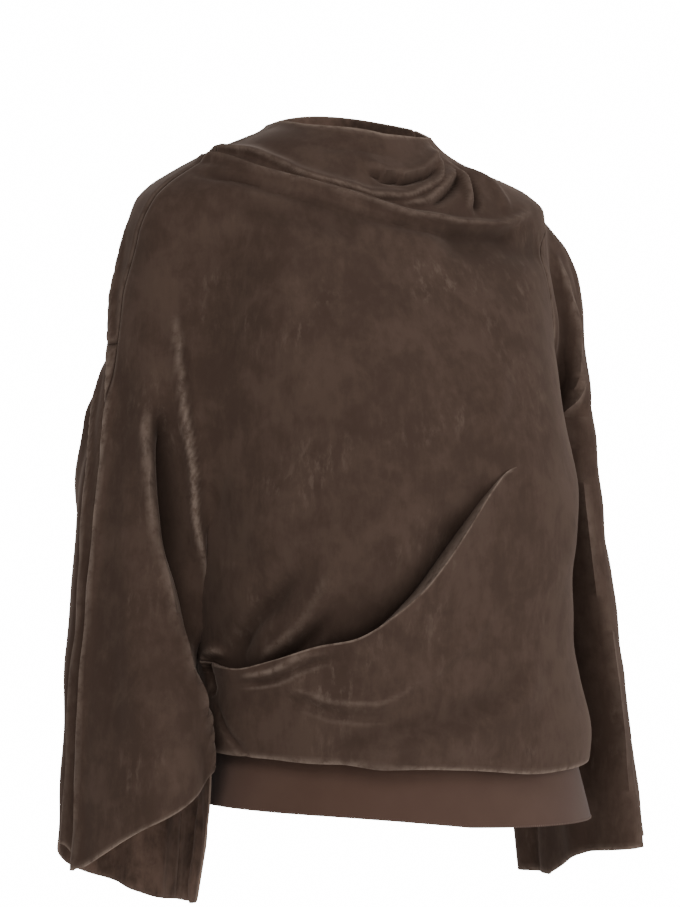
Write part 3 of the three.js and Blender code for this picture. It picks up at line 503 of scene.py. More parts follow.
# Folds run through places on the cloth: how far round it lies and its height. Each stands out by its
# height over its width, or sinks in where that is negative, and sags by so much. A pair of widths makes one
# side steeper: the first is for the side on the left of its run, the second for the side on its right.
folds = [
    # the cowl: lips that overlap down its front, each soft above and steep below, and nested at the left
    ("body", (10, 2.4), 6, 0, [(-72, 3), (-51, -2), (-18, -8), (12, -9), (45, -5), (77, 3), (113, 14),
                               (130, 26)]),
    ("body", (2, 4), -6, 0, [(-60, -5), (-18, -13), (14, -14), (48, -10), (80, -2), (104, 6)]),
    ("body", (8, 2.4), 7, 1, [(-276, 12), (-203, 7), (-164, -2), (-135, -12), (-103, -19), (-76, -23),
                              (-46, -28), (-5, -28), (31, -22), (67, -12), (99, 3), (126, 16)]),
    ("body", (3.4, 3.6), 7, 1, [(-270, 5), (-223, 2), (-175, -9), (-133, -18), (-93, -26), (-68, -30),
                                (-29, -37), (3, -42), (39, -44), (77, -47), (113, -47), (151, -41),
                                (190, -30)]),
    ("body", (3, 7), -5, 0, [(-240, -6), (-188, -15), (-150, -25), (-105, -35), (-52, -45), (3, -51),
                             (60, -55), (120, -54), (165, -46)]),
    ("body", (5, 2.6), 5, 0, [(-18, -33), (23, -32), (58, -23), (86, -12), (128, 3), (136, 14)]),
    ("body", 3.6, -7, 0, [(28, -36), (50, -30), (75, -22), (102, -12), (124, 0), (134, 10)]),
    ("body", (6, 3.4), 5, 0, [(132, 10), (126, -2), (116, -13), (104, -24), (84, -40)]),
    ("body", 4, -8, 0, [(140, 8), (136, -4), (124, -16), (112, -28), (94, -42)]),
    ("body", 7, 4, 0, [(158, 8), (160, -8), (152, -24), (140, -38)]),
    ("body", 4, -2, 0, [(-130, 12), (-70, 13), (-10, 9), (30, 10)]),
    # soft hollows and pulls down the front, below the cowl
    ("body", 15, -7, 0, [(20, -66), (70, -64), (110, -64), (160, -66), (210, -56)]),
    ("body", 12, -4, 0, [(-210, -28), (-150, -42), (-105, -50), (-52, -58)]),
    ("body", 18, -4, 0, [(-170, -56), (-190, -110), (-196, -180)]),
    ("body", 15, 3, 0, [(-140, -60), (-142, -130), (-128, -200)]),
    ("body", 24, 3, 0, [(215, -215), (170, -262), (120, -330)]),
    ("body", 10, 3, 0, [(30, -236), (44, -200), (66, -160)]),
    # folds that gather at the right underarm above the wrap, with a small curled hook in the corner
    ("body", (7, 9), -9, 0, [(-236, -414), (-228, -398), (-216, -384), (-196, -366), (-172, -350),
                             (-146, -322)]),
    ("body", (7, 9), 6, 0, [(-214, -412), (-192, -396), (-171, -383), (-150, -365), (-132, -340),
                            (-118, -306)]),
    ("body", 6, -6, 0, [(-200, -410), (-172, -396), (-146, -378), (-124, -356)]),
    ("body", 20, 5, 0, [(-200, -330), (-160, -280), (-120, -240)]),
    ("body", 4, 6, 0, [(-272, -420), (-270, -404), (-260, -396), (-248, -395), (-238, -402)]),
    ("body", 4.6, -16, 0, [(-264, -404), (-260, -412), (-256, -422), (-252, -432)]),
    ("body", 3, -4, 0, [(-226, -423), (-183, -417), (-143, -402), (-116, -397)]),
    ("body", 3, -3, 0, [(-250, -430), (-243, -441), (-230, -457), (-214, -470), (-204, -480)]),
    # pleats below the wrap
    ("body", 4, 3, 0, [(-222, -419), (-183, -412), (-150, -398), (-128, -394)]),
    ("body", (10, 6), 3.6, 0, [(-190, -424), (-159, -422), (-134, -430), (-100, -432), (-53, -414),
                               (0, -386), (40, -352)]),
    ("body", 5, -4, 0, [(-184, -430), (-158, -433), (-132, -440), (-100, -443), (-60, -434)]),
    ("body", 13, 5, 0, [(-130, -476), (-72, -470), (-29, -465), (14, -457), (60, -434), (100, -402)]),
    ("body", 10, -5, 0, [(-150, -458), (-90, -456), (-40, -448), (20, -434), (70, -408)]),
    ("body", 14, 5, 0, [(236, -240), (228, -330), (226, -400), (246, -470)]),
    ("body", 10, -5, 0, [(250, -300), (250, -380), (262, -440)]),
    # the back: low drapes below the neck edge, long pulls, side folds, and uneven gathers above the band
    ("body", (9, 3), 6, 1, [(306, 4), (400, -14), (522, -22), (640, -12), (740, 8)]),
    ("body", (12, 4.5), 8, 1, [(300, -22), (380, -54), (480, -74), (580, -66), (680, -36), (750, -12)]),
    ("body", (5, 10), -5, 0, [(330, -50), (400, -72), (480, -88), (580, -80), (660, -54)]),
    ("body", (18, 12), 6, 0, [(336, -70), (380, -150), (450, -250), (540, -330), (630, -390)]),
    ("body", (11, 16), -5, 0, [(350, -130), (420, -240), (510, -330), (590, -384)]),
    ("body", (8, 14), 7, 0, [(346, -230), (400, -300), (480, -372), (560, -424)]),
    ("body", 10, -9, 0, [(318, -90), (310, -190), (314, -320)]),
    ("body", (10, 7), 7, 0, [(340, -60), (334, -200), (342, -350)]),
    ("body", (8, 14), 9, 0, [(690, -60), (676, -160), (680, -260), (660, -380)]),
    ("body", 9, -8, 0, [(716, -90), (704, -180), (708, -300)]),
    ("body", (14, 6), 6, 0, [(600, -60), (590, -150), (606, -240), (640, -320)]),
    ("body", 7, 5, 0, [(356, -400), (350, -490)]),
    ("body", 6, -6, 0, [(382, -412), (378, -494)]),
    ("body", 8, 5, 0, [(424, -420), (430, -500)]),
    ("body", 6, -5, 0, [(462, -430), (466, -500)]),
    ("body", 7, 6, 0, [(498, -400), (502, -496)]),
    ("body", 6, -6, 0, [(538, -424), (536, -500)]),
    ("body", 9, 5, 0, [(580, -410), (578, -500)]),
    ("body", 6, -5, 0, [(620, -430), (612, -496)]),
    ("body", 7, 6, 0, [(652, -404), (642, -494)]),
    ("body", 6, -6, 0, [(690, -410), (684, -490)]),
    # the right sleeve: its front edge, the deep hollow between it and the ridge beside it, lines down its
    # outer side, and long folds at its back
    ("right", 7, 10, 0, [(84, -110), (78, -155), (70, -195), (59, -225), (41, -257), (14, -312), (4, -362),
                         (16, -404)]),
    ("right", 9, -17, 0, [(94, -190), (82, -240), (66, -290), (52, -330), (46, -364), (36, -396)]),
    ("right", 6, 8, 0, [(104, -190), (97, -248), (94, -304), (92, -352), (88, -404), (84, -437), (76, -466),
                        (70, -500), (66, -560)]),
    ("right", 5, 5, 0, [(222, -40), (203, -113), (185, -162), (166, -210), (159, -255), (161, -352),
                        (163, -421), (164, -493), (160, -560), (160, -640)]),
    ("right", 4, -6, 0, [(230, -40), (212, -113), (195, -162), (176, -210), (169, -255), (171, -352),
                         (173, -421), (174, -493), (170, -640)]),
    ("right", 4.5, 4, 0, [(232, -150), (216, -205), (196, -257), (187, -352), (184, -421), (186, -539),
                          (184, -640)]),
    ("right", 4, -3.5, 0, [(236, -180), (207, -257), (198, -352), (195, -421), (197, -539), (196, -640)]),
    ("right", 18, -4, 0, [(130, -150), (132, -260), (134, -380), (128, -480)]),
    ("right", 20, 4, 0, [(118, -400), (112, -480), (104, -560)]),
    ("right", (8, 18), 8, 0, [(236, -170), (246, -320), (252, -470), (250, -640)]),
    ("right", (14, 7), -7, 0, [(272, -240), (276, -400), (270, -640)]),
    ("right", 12, 6, 0, [(300, -300), (304, -420), (300, -640)]),
    ("right", 7, 6, 0, [(26, -500), (24, -560), (24, -620)]),
    ("right", 5, -5, 0, [(38, -500), (37, -560), (36, -620)]),
    # the left sleeve
    ("left", (4, 8), 7, 0, [(78, -56), (86, -105), (91, -173), (96, -290), (99, -395), (101, -487),
                            (104, -640)]),
    ("left", (6, 4), -5, 0, [(98, -80), (108, -130), (110, -200), (112, -300), (113, -420), (112, -640)]),
    ("left", 5, 5, 0, [(122, -50), (124, -160), (124, -300), (124, -450), (122, -640)]),
    ("left", 8, -5, 0, [(56, -60), (66, -105), (72, -160), (76, -220)]),
    ("left", 9, 3, 0, [(150, -90), (152, -220), (154, -400), (150, -640)]),
    ("left", 13, -3, 0, [(80, -120), (80, -260), (82, -420), (84, -640)]),
    ("left", 12, 3.5, 0, [(60, -240), (58, -380), (60, -640)]),
    ("left", (9, 16), -8, 0, [(206, -80), (222, -240), (234, -400), (240, -640)]),
    ("left", (14, 7), 8, 0, [(256, -110), (272, -320), (270, -640)]),
    ("left", 12, 6, 0, [(184, -180), (190, -420), (186, -640)]),
    ("left", 9, -6, 0, [(300, -240), (304, -420), (300, -640)]),
]
wrapFold = {"lip": 10, "sink": 14, "lipReach": 30, "sinkReach": 22, "lift": 6, "liftReach": 11,
            "begins": 0.02, "fadesIn": 0.1, "ends": 0.63, "fadesOut": 0.14}
foldLine = {"reach": 2.8, "sampleEvery": 7, "fewestSamples": 12, "fadeAtEnds": 40}
# Painted highlight lines along the sleeves' narrow ridges.
crestLine = {"width": 2.8, "leastHeight": 3, "fullHeight": 6, "widestFold": 7}


def clothAt(lies, across, z):
    if lies == "body":
        return withHeight(bodyPoint(across / bodyMillimetres, z), z)
    side = leftSide if lies == "left" else rightSide
    return withHeight(sleeveCloth(side, across / sleeveMillimetres, z), z)


# Adds one fold: every place near its line and facing the same way moves by its share.
def addFold(lies, width, height, sag, knots):
    knots = np.array(knots, float)
    widths = np.broadcast_to(width, 2)
    run = np.concatenate([[0], np.cumsum(np.linalg.norm(np.diff(knots, axis=0), axis=1))])
    samples = np.linspace(0, run[-1], max(foldLine["fewestSamples"], int(run[-1] / foldLine["sampleEvery"])))
    a = curve(run, knots[:, 0], samples)
    h = curve(run, knots[:, 1], samples)
    line = clothAt(lies, a, h)
    facing = unit(np.cross(clothAt(lies, a + 1, h) - line, clothAt(lies, a, h + 1) - line))
    if lies == "right":
        facing = -facing
    reach = foldLine["reach"] * widths.max()
    near = ((base > line.min(0) - reach) & (base < line.max(0) + reach)).all(1) & ~isBand
    here = base[near][:, None]
    step = np.diff(line, axis=0)
    t = np.clip(((here - line[:-1]) * step).sum(2) / (step**2).sum(1), 0, 1)
    distance = np.linalg.norm(here - line[:-1] - t[..., None] * step, axis=-1)
    closest = distance.argmin(1)
    own = np.arange(len(closest)), closest
    along = mix(samples[closest], samples[closest + 1], t[own])
    agrees = smooth((baseNormals[near] * facing[closest]).sum(1) * 2)
    ends = min(foldLine["fadeAtEnds"], run[-1] / 3)
    fade = smooth(along / ends) * smooth((run[-1] - along) / ends) * (distance[own] < reach) * agrees
    leftWay = np.cross(facing[closest], step[closest])
    isLeft = ((here[:, 0] - line[closest]) * leftWay).sum(1) > 0
    wide = np.where(isLeft, widths[0], widths[1])
    shape = np.exp(-((distance[own] / wide) ** 2)) * fade
    folded[near] += height * shape
    lifted[near] -= sag * shape
    # Paints a highlight line along this fold's crest.
    if lies != "body" and height > crestLine["leastHeight"] and widths.min() <= crestLine["widestFold"]:
        full = min(1, height / crestLine["fullHeight"])
        light = np.exp(-((distance[own] / crestLine["width"]) ** 2)) * full
        crestHighlight[near] = np.maximum(crestHighlight[near], light * fade)


folded = np.zeros(total)
lifted = np.zeros(total)
crestHighlight = np.zeros(total)
isBand = np.zeros(total, bool)
isBand[bandGrid] = True
isBand[frontGrid[edgeRow + 1:]] = True
isBand[backGrid[edgeRow + 1:]] = True
baseNormals = normalsOf(base)
for lies, width, height, sag, knots in folds:
    addFold(lies, width, height, sag, knots)

# The wrap fold's lip stands out below its line and the cloth above sinks in behind it.
strength = smooth((acrossFront - wrapFold["begins"]) / wrapFold["fadesIn"])
strength *= smooth((wrapFold["ends"] - acrossFront) / wrapFold["fadesOut"])
under = frontHeight(wrapLine, acrossFront)[None] - heightFront
lip = wrapFold["lip"] * np.exp(-np.maximum(0, under) / wrapFold["lipReach"])
sink = -wrapFold["sink"] * np.exp(np.minimum(0, under) / wrapFold["sinkReach"])
isUnder = upperRows[:, None] >= wrapLine
folded[frontGrid[: edgeRow + 1]] += strength * np.where(isUnder, lip, sink)
lift = wrapFold["lift"] * np.exp(-under / wrapFold["liftReach"])
lifted[frontGrid[: edgeRow + 1]] += strength * np.where(isUnder, lift, 0)
print("folds placed")

# Low waves keep the cloth from lying too evenly.
wave = {"seed": 7, "count": 26, "perMillimetre": (0.04, 0.13), "height": (0.1, 0.28), "onBand": 0.25}
random = np.random.default_rng(wave["seed"])
waves = np.zeros(total)
for _ in range(wave["count"]):
    way = unit(random.normal(size=3)) * random.uniform(*wave["perMillimetre"])
    waves += np.sin(base @ way + random.uniform(0, 6.28)) * random.uniform(*wave["height"])
waves[isBand] *= wave["onBand"]

middle = base + baseNormals * (folded + waves)[:, None]
middle[:, 2] += lifted


def edgesOf(faces):
    pairs = np.concatenate([faces[:, [0, 1]], faces[:, [1, 2]], faces[:, [2, 3]], faces[:, [3, 0]]])
    return pairs[pairs[:, 0] != pairs[:, 1]]


def rimOf(faces):
    pairs = edgesOf(faces)
    keys = pairs[:, 0] * total + pairs[:, 1]
    back = pairs[:, 1] * total + pairs[:, 0]
    return pairs[~np.isin(keys, back)]


# How many edges each place is away from the places at the start.
def stepsFrom(starts, most):
    pairs = edgesOf(allFaces)
    away = np.full(total, most + 1)
    away[starts] = 0
    for n in range(1, most + 1):
        reached = np.zeros(total, bool)
        close = away == n - 1
        reached[pairs[close[pairs[:, 0]], 1]] = True
        reached[pairs[close[pairs[:, 1]], 0]] = True
        away[reached & (away > n)] = n
    return away


# Seams lie in a groove with the cloth raised a little beside it: the heights are step by step from the seam.
seam = {"groove": (-1.1, -0.2, 0.35, 0.15, 0), "drawnBack": 0.225}
rims = {name: rimOf(faces) for name, faces in pieceFaces.items()}
rimCount = np.zeros(total, int)
for rim in rims.values():
    rimCount[np.unique(rim)] += 1
grooveSteps = np.arange(len(seam["groove"]))
fromSeam = stepsFrom(rimCount > 1, grooveSteps[-1])
fromHem = stepsFrom(np.unique(rimOf(allFaces)), 1)
normals = normalsOf(middle)
groove = np.interp(fromSeam, grooveSteps, seam["groove"])
middle += normals * groove[:, None]
normals = normalsOf(middle)

# Painted highlight where the cloth bulges, on the sleeves' ridges, at hems and beside seams, weaker on the
# cowl, and painted shade in hollows and in seams.
pile = {"perBulge": 11, "leastBulge": 0.02, "shortest": 0.3, "crestHighlight": 0.2, "most": 0.85, "onCowl": 0.4,
        "cowlFrom": -80, "cowlFade": 30, "hem": 1, "nearHem": 0.2, "besideSeam": 0.3, "inSeam": 0.5,
        "darkestDepth": 17}
pairs = edgesOf(allFaces)
bulge = np.zeros(total)
count = np.zeros(total)
way = middle[pairs[:, 1]] - middle[pairs[:, 0]]
length = np.maximum(np.linalg.norm(way, axis=1), pile["shortest"])
drop = -(way * normals[pairs[:, 0]]).sum(1) / length**2
np.add.at(bulge, pairs[:, 0], drop)
np.add.at(count, pairs[:, 0], 1)
bulge /= np.maximum(count, 1)
spread = np.zeros(total)
np.add.at(spread, pairs[:, 0], bulge[pairs[:, 1]])
bulge = 0.5 * bulge + 0.5 * spread / np.maximum(count, 1)
paintedHighlight = np.clip((bulge - pile["leastBulge"]) * pile["perBulge"] + crestHighlight * pile["crestHighlight"], 0, pile["most"])
paintedHighlight *= mix(1, pile["onCowl"], smooth((base[:, 2] - pile["cowlFrom"]) / pile["cowlFade"]))
# Painted shade, darkest where the cloth sinks deepest; the loop below also paints shade into seams.
hollowShade = np.clip(-folded / pile["darkestDepth"], 0, 1)
for field, isThere, value in (
    (paintedHighlight, fromHem == 0, pile["hem"]), (paintedHighlight, fromHem == 1, pile["nearHem"]),
    (paintedHighlight, fromSeam == 1, pile["besideSeam"]), (hollowShade, fromSeam == 0, pile["inSeam"]),
):
    field[isThere] = np.maximum(field[isThere], value)

# Where each place lies on the flat cloth: across and up. The sleeves lie apart from the body.
sleevesApart = 400
clothPlace = np.zeros((total, 3))
clothPlace[frontGrid[: edgeRow + 1], 0] = frontDegrees * bodyMillimetres
clothPlace[backGrid[: edgeRow + 1], 0] = backDegrees * bodyMillimetres
clothPlace[rightGrid, 0] = -sleevesApart - shares * sleeveMillimetres
clothPlace[leftGrid, 0] = sleevesApart + shares * sleeveMillimetres
clothPlace[:, 2] = base[:, 2]


# At each place on a piece's rim, the way into the piece.
def inwardWays(faces, rim):
    onRim = np.zeros(total, bool)
    onRim[rim] = True
    centre = middle[faces].mean(1)
    ways = np.zeros((total, 3))
    for n in range(4):
        corner = faces[:, n]
        np.add.at(ways, corner, unit(centre - middle[corner]))
    along = unit(middle[rim[:, 1]] - middle[rim[:, 0]])
    for n in range(2):
        corner = rim[:, n]
        part = (ways[corner] * along).sum(1, keepdims=True)
        np.add.at(ways, corner, -0.5 * along * part)
    ways[~onRim] = 0
    return unit(ways) * onRim[:, None]


def linear(colour):
    parts = [int(colour[n: n + 2], 16) / 255 for n in (1, 3, 5)]
    return tuple(c / 12.92 if c <= 0.04045 else ((c + 0.055) / 1.055) ** 2.4 for c in parts) + (1,)


# Adds a node. A setting names an input, by name or number, or else a property of the node, and an input takes
# a value or another node's output.
def addNode(tree, kind, settings=None):
    node = tree.nodes.new(kind)
    for name, value in (settings or {}).items():
        if not (isinstance(name, int) or name in node.inputs):
            setattr(node, name, value)
        elif isinstance(value, bpy.types.NodeSocket):
            tree.links.new(value, node.inputs[name])
        else:
            node.inputs[name].default_value = value
    return node


def newMaterial(name):
    material = bpy.data.materials.new(name)
    material.use_nodes = True
    material.node_tree.nodes.clear()
    return material, material.node_tree


# Lays colours over the first one, each by its share.
def layColours(tree, colour, layers):
    for share, over in layers:
        mixed = addNode(tree, "ShaderNodeMix", {"data_type": "RGBA", 0: share, 6: colour, 7: over})
        colour = mixed.outputs[2]
    return colour


def finishMaterial(tree, colour, settings):
    shader = addNode(tree, "ShaderNodeBsdfPrincipled", {"Base Color": colour, **settings})
    addNode(tree, "ShaderNodeOutputMaterial", {"Surface": shader.outputs["BSDF"]})


# Velvet with a short woven pile: its shading wanders in soft patches and fine crush marks show in places. A
# painted highlight lies on ridges and edges and painted shade in hollows; the inside is lighter, partly as
# painted light.
def velvetMaterial():
    material, tree = newMaterial("velvet_woven_pile")
    place = addNode(tree, "ShaderNodeTexCoord").outputs["Object"]
    upright = addNode(tree, "ShaderNodeMapping", {
        "Vector": place, "Scale": velvet["strokeStretch"]}).outputs[0]
    seen = {}
    for name, (size, detail, rough, bend) in velvet["patterns"].items():
        seen[name] = addNode(tree, "ShaderNodeTexNoise", {
            "Vector": upright if name == "strokes" else place, "Scale": 1000 / size,
            "Detail": detail, "Roughness": rough, "Distortion": bend,
        }).outputs["Fac"]
    # Painted highlight, painted shade and the lighter inside come in from the mesh.
    for name in ("paintedHighlight", "hollowShade", "litReverse"):
        seen[name] = addNode(tree, "ShaderNodeAttribute", {"attribute_name": name}).outputs["Fac"]
    seen["shade"] = 0
    for name, share in velvet["shading"].items():
        seen["shade"] = addNode(tree, "ShaderNodeMath", {
            "operation": "MULTIPLY_ADD", 0: seen[name], 1: share, 2: seen["shade"]}).outputs[0]
    # Each ramp rises smoothly from 0 to 1 between its two values.
    for name, source, low, high in (
        ("pale", "shade", 0.4, 0.6), ("insidePatches", "shade", 0.35, 0.65), ("inMarks", "marked", 0.5, 0.75),
        ("inStrokes", "strokes", 0.5, 0.7), ("highlightBreakup", "highlightNoise", 0.2, 0.62),
    ):
        seen[name] = addNode(tree, "ShaderNodeMapRange", {
            "interpolation_type": "SMOOTHSTEP", "Value": seen[source], "From Min": low, "From Max": high,
        }).outputs["Result"]
    for name, factors in (
        ("marks", (seen["inStrokes"], seen["inMarks"], velvet["marks"])),
        ("hollows", (seen["hollowShade"], velvet["hollows"])),
        ("ridgeHighlight", (seen["paintedHighlight"], seen["highlightBreakup"], velvet["ridgeHighlight"])),
    ):
        seen[name] = factors[0]
        for factor in factors[1:]:
            seen[name] = addNode(tree, "ShaderNodeMath", {
                "operation": "MULTIPLY", 0: seen[name], 1: factor}).outputs[0]
    colours = {name: linear(velvet[name]) for name in ("colour", "dark", "paintedShadeColour", "litReverse", "light")}
    # The inside takes the lighter backing colour, partly painted light; painted shade goes into hollows, a
    # painted highlight onto ridges.
    litBacking = layColours(tree, colours["colour"], [(seen["insidePatches"], colours["litReverse"])])
    tone = layColours(tree, colours["dark"], [
        (seen["pale"], colours["colour"]), (seen["marks"], colours["light"]), (seen["litReverse"], litBacking),
        (seen["hollows"], colours["paintedShadeColour"]), (seen["ridgeHighlight"], colours["light"]),
    ])
    soft = addNode(tree, "ShaderNodeBump", {"Strength": 0.1, "Distance": 0.002, "Height": seen["patches"]})
    fine = addNode(tree, "ShaderNodeBump", {
        "Strength": 0.2, "Distance": 0.0003, "Height": seen["fibres"], "Normal": soft.outputs["Normal"]})
    finishMaterial(tree, tone, {
        "Roughness": 0.92, "Specular IOR Level": 0.1, "Sheen Weight": velvet["sheen"], "Sheen Roughness": 0.4,
        "Sheen Tint": linear(velvet["sheenColour"]), "Normal": fine.outputs["Normal"],
    })
    return material


# Smooth jersey: fine upright wales, drawn coarser than real ones so that they show, and hardly any sheen.
def jerseyMaterial():
    material, tree = newMaterial("smooth_jersey_knitted")
    place = addNode(tree, "ShaderNodeTexCoord").outputs["Object"]
    onCloth = addNode(tree, "ShaderNodeAttribute", {"attribute_name": "clothPlace"}).outputs["Vector"]
    wales = addNode(tree, "ShaderNodeTexWave", {
        "Vector": onCloth, "Scale": jersey["wales"], "Distortion": 0.3})
    cloud, fuzz = (addNode(tree, "ShaderNodeTexNoise", {
        "Vector": place, "Scale": 1000 / size, "Detail": detail, "Roughness": 0.55,
    }).outputs["Fac"] for size, detail in (jersey["cloud"], jersey["fuzz"]))
    share = addNode(tree, "ShaderNodeMapRange", {
        "interpolation_type": "SMOOTHSTEP", "Value": cloud, "From Min": 0.3, "From Max": 0.7, "To Max": 0.4})
    colour = layColours(tree, linear(jersey["colour"]), [(share.outputs["Result"], linear(jersey["light"]))])
    ribbed = addNode(tree, "ShaderNodeBump", {
        "Strength": 0.12, "Distance": 0.0002, "Height": wales.outputs["Fac"]})
    fine = addNode(tree, "ShaderNodeBump", {
        "Strength": 0.15, "Distance": 0.0002, "Height": fuzz, "Normal": ribbed.outputs["Normal"]})
    finishMaterial(tree, colour, {
        "Roughness": 0.9, "Specular IOR Level": 0.15, "Sheen Weight": 0.12, "Sheen Roughness": 0.5,
        "Normal": fine.outputs["Normal"],
    })
    return material


velvetCloth = velvetMaterial()
jerseyCloth = jerseyMaterial()
# The inside carries half of the painted highlight.
shell = {"sharpAngle": 62, "innerHighlight": 0.5}


# A piece of cloth: its outer and inner faces and the edge between them, drawn back a little at each seam.
def sewPiece(name, thickness, material):
    faces, rim = pieceFaces[name], rims[name]
    drawnBack = inwardWays(faces, rim) * np.where(rimCount > 1, seam["drawnBack"], 0)[:, None]
    outer = middle + drawnBack + normals * thickness / 2
    inner = middle + drawnBack - normals * thickness / 2
    used = np.unique(faces)
    count = len(used)
    number = np.full(total, -1)
    number[used] = np.arange(count)
    verts = np.concatenate([outer[used], inner[used]]) / 1000
    quads = number[faces]
    a, b = number[rim[:, 0]], number[rim[:, 1]]
    allQuads = np.concatenate([quads, quads[:, ::-1] + count, np.stack([b, a, a + count, b + count], 1)])
    cleaned = []
    for face in allQuads.tolist():
        corners = [c for n, c in enumerate(face) if c != face[n - 1]]
        if len(corners) > 2:
            cleaned.append(corners)
    mesh = bpy.data.meshes.new(name + "_cloth")
    mesh.from_pydata(verts.tolist(), [], cleaned)
    mesh.materials.append(material)
    mesh.polygons.foreach_set("use_smooth", [True] * len(mesh.polygons))
    mesh.set_sharp_from_angle(angle=math.radians(shell["sharpAngle"]))
    none = np.zeros(count)
    # Painted highlight and painted shade go on the mesh; the inside, marked here, is drawn lighter, partly as
    # painted light.
    for field, outside, inside in (
        ("clothPlace", clothPlace[used], clothPlace[used]),
        ("paintedHighlight", paintedHighlight[used], paintedHighlight[used] * shell["innerHighlight"]),
        ("hollowShade", hollowShade[used], none),
        ("litReverse", none, none + 1),
    ):
        isPlace = field == "clothPlace"
        made = mesh.attributes.new(field, "FLOAT_VECTOR" if isPlace else "FLOAT", "POINT")
        made.data.foreach_set("vector" if isPlace else "value", np.concatenate([outside, inside]).ravel())
    mesh.update()
    piece = bpy.data.objects.new(name + "_cloth", mesh)
    bpy.context.scene.collection.objects.link(piece)
    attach(piece, "root")
    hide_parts(name)
    print("sewn", name, len(mesh.polygons))
    return piece


# Small upright stitches that follow a closed path, set along it by Geometry Nodes. They are spaced a little
# wider than real ones so that they show.
stitch = {"spacing": 2.4, "height": 1.5, "thickness": 0.5, "colour": "#5f4a40", "aboveEdge": 0.9}


def stitchGroup():
    tree = bpy.data.node_groups.new("stitches_along_path", "GeometryNodeTree")
    for name, way, kind in (
        ("Path", "INPUT", "Geometry"), ("Spacing", "INPUT", "Float"), ("Height", "INPUT", "Float"),
        ("Thickness", "INPUT", "Float"), ("Thread", "INPUT", "Material"), ("Stitches", "OUTPUT", "Geometry"),
    ):
        tree.interface.new_socket(name, in_out=way, socket_type="NodeSocket" + kind)
    given = addNode(tree, "NodeGroupInput").outputs
    path = addNode(tree, "GeometryNodeMeshToCurve", {"Mesh": given["Path"]}).outputs["Curve"]
    even = addNode(tree, "GeometryNodeCurveToPoints", {
        "mode": "LENGTH", "Curve": path, "Length": given["Spacing"]})
    size = addNode(tree, "ShaderNodeCombineXYZ", {
        "X": given["Thickness"], "Y": given["Height"], "Z": given["Thickness"]}).outputs[0]
    ball = addNode(tree, "GeometryNodeMeshUVSphere", {
        "Segments": 6, "Rings": 5, "Radius": 0.5}).outputs["Mesh"]
    thread = addNode(tree, "GeometryNodeTransform", {"Geometry": ball, "Scale": size}).outputs[0]
    placed = addNode(tree, "GeometryNodeInstanceOnPoints", {
        "Points": even.outputs["Points"], "Instance": thread, "Rotation": even.outputs["Rotation"],
    }).outputs[0]
    real = addNode(tree, "GeometryNodeRealizeInstances", {"Geometry": placed}).outputs[0]
    done = addNode(tree, "GeometryNodeSetMaterial", {
        "Geometry": real, "Material": given["Thread"]}).outputs[0]
    addNode(tree, "NodeGroupOutput", {"Stitches": done})
    return tree


# Spun polyester thread: matt, with slightly lighter places.
def threadMaterial():
    material, tree = newMaterial("polyester_thread_spun")
    place = addNode(tree, "ShaderNodeTexCoord").outputs["Object"]
    fuzz = addNode(tree, "ShaderNodeTexNoise", {
        "Vector": place, "Scale": 1000 / 3, "Detail": 2, "Roughness": 0.55}).outputs["Fac"]
    share = addNode(tree, "ShaderNodeMath", {"operation": "MULTIPLY", 0: fuzz, 1: 0.4}).outputs[0]
    colour = layColours(tree, linear(stitch["colour"]), [(share, linear(velvet["light"]))])
    finishMaterial(tree, colour, {"Roughness": 0.7})
    return material


def sewStitches(name, ring, away):
    spots = (middle[ring] + normals[ring] * away) / 1000
    mesh = bpy.data.meshes.new(name)
    count = len(spots)
    mesh.from_pydata(spots.tolist(), [(n, (n + 1) % count) for n in range(count)], [])
    row = bpy.data.objects.new(name, mesh)
    bpy.context.scene.collection.objects.link(row)
    values = {size.capitalize(): stitch[size] / 1000 for size in ("spacing", "height", "thickness")}
    values["Thread"] = threadMaterial()
    maker = row.modifiers.new("stitches", "NODES")
    maker.node_group = stitchGroup()
    for socket in maker.node_group.interface.items_tree:
        if socket.name in values:
            maker[socket.identifier] = values[socket.name]
    seen = row.evaluated_get(bpy.context.evaluated_depsgraph_get())
    row.data = bpy.data.meshes.new_from_object(seen)
    row.modifiers.clear()
    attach(row, "root")
    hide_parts("waistband")
    print("stitched", name, len(row.data.polygons))


# Builds each piece of cloth, then the stitches along the waistband's lower edge.
for name in pieceFaces:
    isJersey = name == "waistband"
    thickness = jersey["thickness"] if isJersey else velvet["thickness"]
    sewPiece(name, thickness, jerseyCloth if isJersey else velvetCloth)
lowRing = bandGrid[-1, :-1]
middle[lowRing, 2] += stitch["aboveEdge"]
sewStitches("band_edge_stitches", lowRing, jersey["thickness"] / 2)

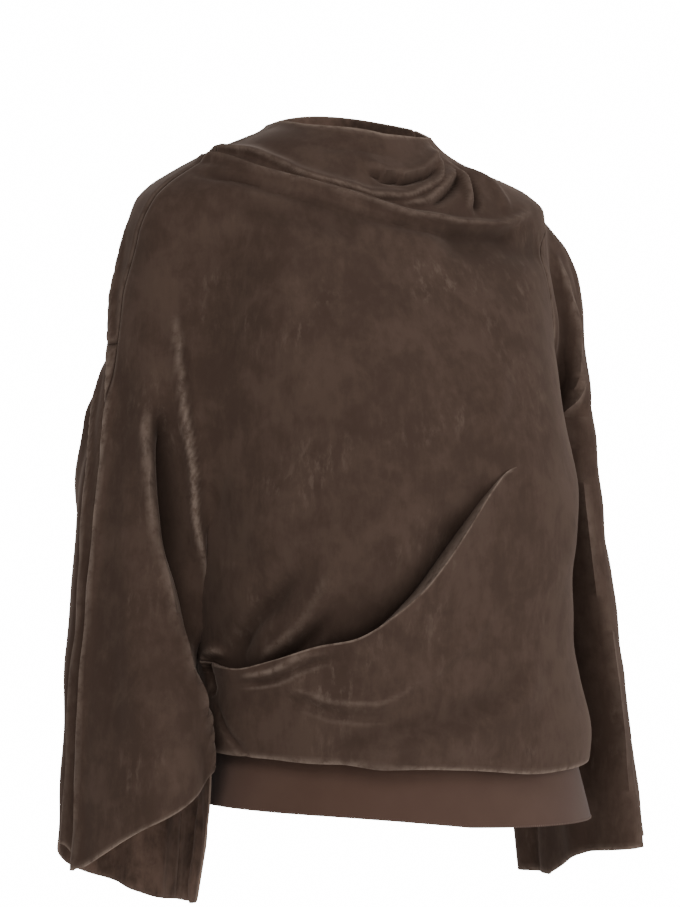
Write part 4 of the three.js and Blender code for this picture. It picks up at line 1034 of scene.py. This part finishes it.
# The studio, in metres. Its paper and its background are white to the camera and plain to the light.
studio = {
    "floor": "#f6f6f6", "floorHalf": 2, "floorHeight": -1.15, "floorGlow": 5,
    "world": 0.42, "background": 16,
}
lamps = {
    "key": {"spot": (-1.9, -1.7, 1.5), "aim": (0, 0, -0.27), "size": (1.4, 1.4), "power": 38},
    "fill": {"spot": (-0.7, -2.9, -0.2), "aim": (0.08, 0, -0.3), "size": (1.6, 2.2), "power": 28},
    "side": {"spot": (2.3, -1.9, 0.1), "aim": (0.15, 0, -0.4), "size": (1.4, 2.0), "power": 46},
    "rim": {"spot": (0.6, 2.4, 1.5), "aim": (0, 0, -0.27), "size": (2.0, 1.2), "power": 34},
}


def addLamp(name, lamp):
    data = bpy.data.lights.new(name, "AREA")
    data.shape = "RECTANGLE"
    data.size, data.size_y = lamp["size"]
    data.energy = lamp["power"]
    light = bpy.data.objects.new(name, data)
    light.location = lamp["spot"]
    way = Vector(lamp["aim"]) - Vector(lamp["spot"])
    light.rotation_euler = way.to_track_quat("-Z", "Y").to_euler()
    bpy.context.scene.collection.objects.link(light)


def buildStage():
    material, tree = newMaterial("studio_paper")
    seen = addNode(tree, "ShaderNodeLightPath").outputs["Is Camera Ray"]
    glow = addNode(tree, "ShaderNodeMath", {
        "operation": "MULTIPLY", 0: seen, 1: studio["floorGlow"]}).outputs[0]
    finishMaterial(tree, linear(studio["floor"]), {
        "Roughness": 1, "Specular IOR Level": 0, "Emission Color": (1, 1, 1, 1), "Emission Strength": glow})
    half, height = studio["floorHalf"], studio["floorHeight"]
    corners = [(-half, -half, height), (half, -half, height), (half, half, height), (-half, half, height)]
    mesh = bpy.data.meshes.new("floor")
    mesh.from_pydata(corners, [], [(0, 1, 2, 3)])
    mesh.materials.append(material)
    floor = bpy.data.objects.new("floor", mesh)
    bpy.context.scene.collection.objects.link(floor)
    world = bpy.data.worlds.new("studio")
    bpy.context.scene.world = world
    world.use_nodes = True
    tree = world.node_tree
    tree.nodes.clear()
    seen = addNode(tree, "ShaderNodeLightPath").outputs["Is Camera Ray"]
    brighter = studio["background"] - studio["world"]
    strength = addNode(tree, "ShaderNodeMath", {
        "operation": "MULTIPLY_ADD", 0: seen, 1: brighter, 2: studio["world"]}).outputs[0]
    back = addNode(tree, "ShaderNodeBackground", {"Color": (1, 1, 1, 1), "Strength": strength})
    addNode(tree, "ShaderNodeOutputWorld", {"Surface": back.outputs[0]})
    for name, lamp in lamps.items():
        addLamp(name, lamp)


buildStage()
print("stage lit")
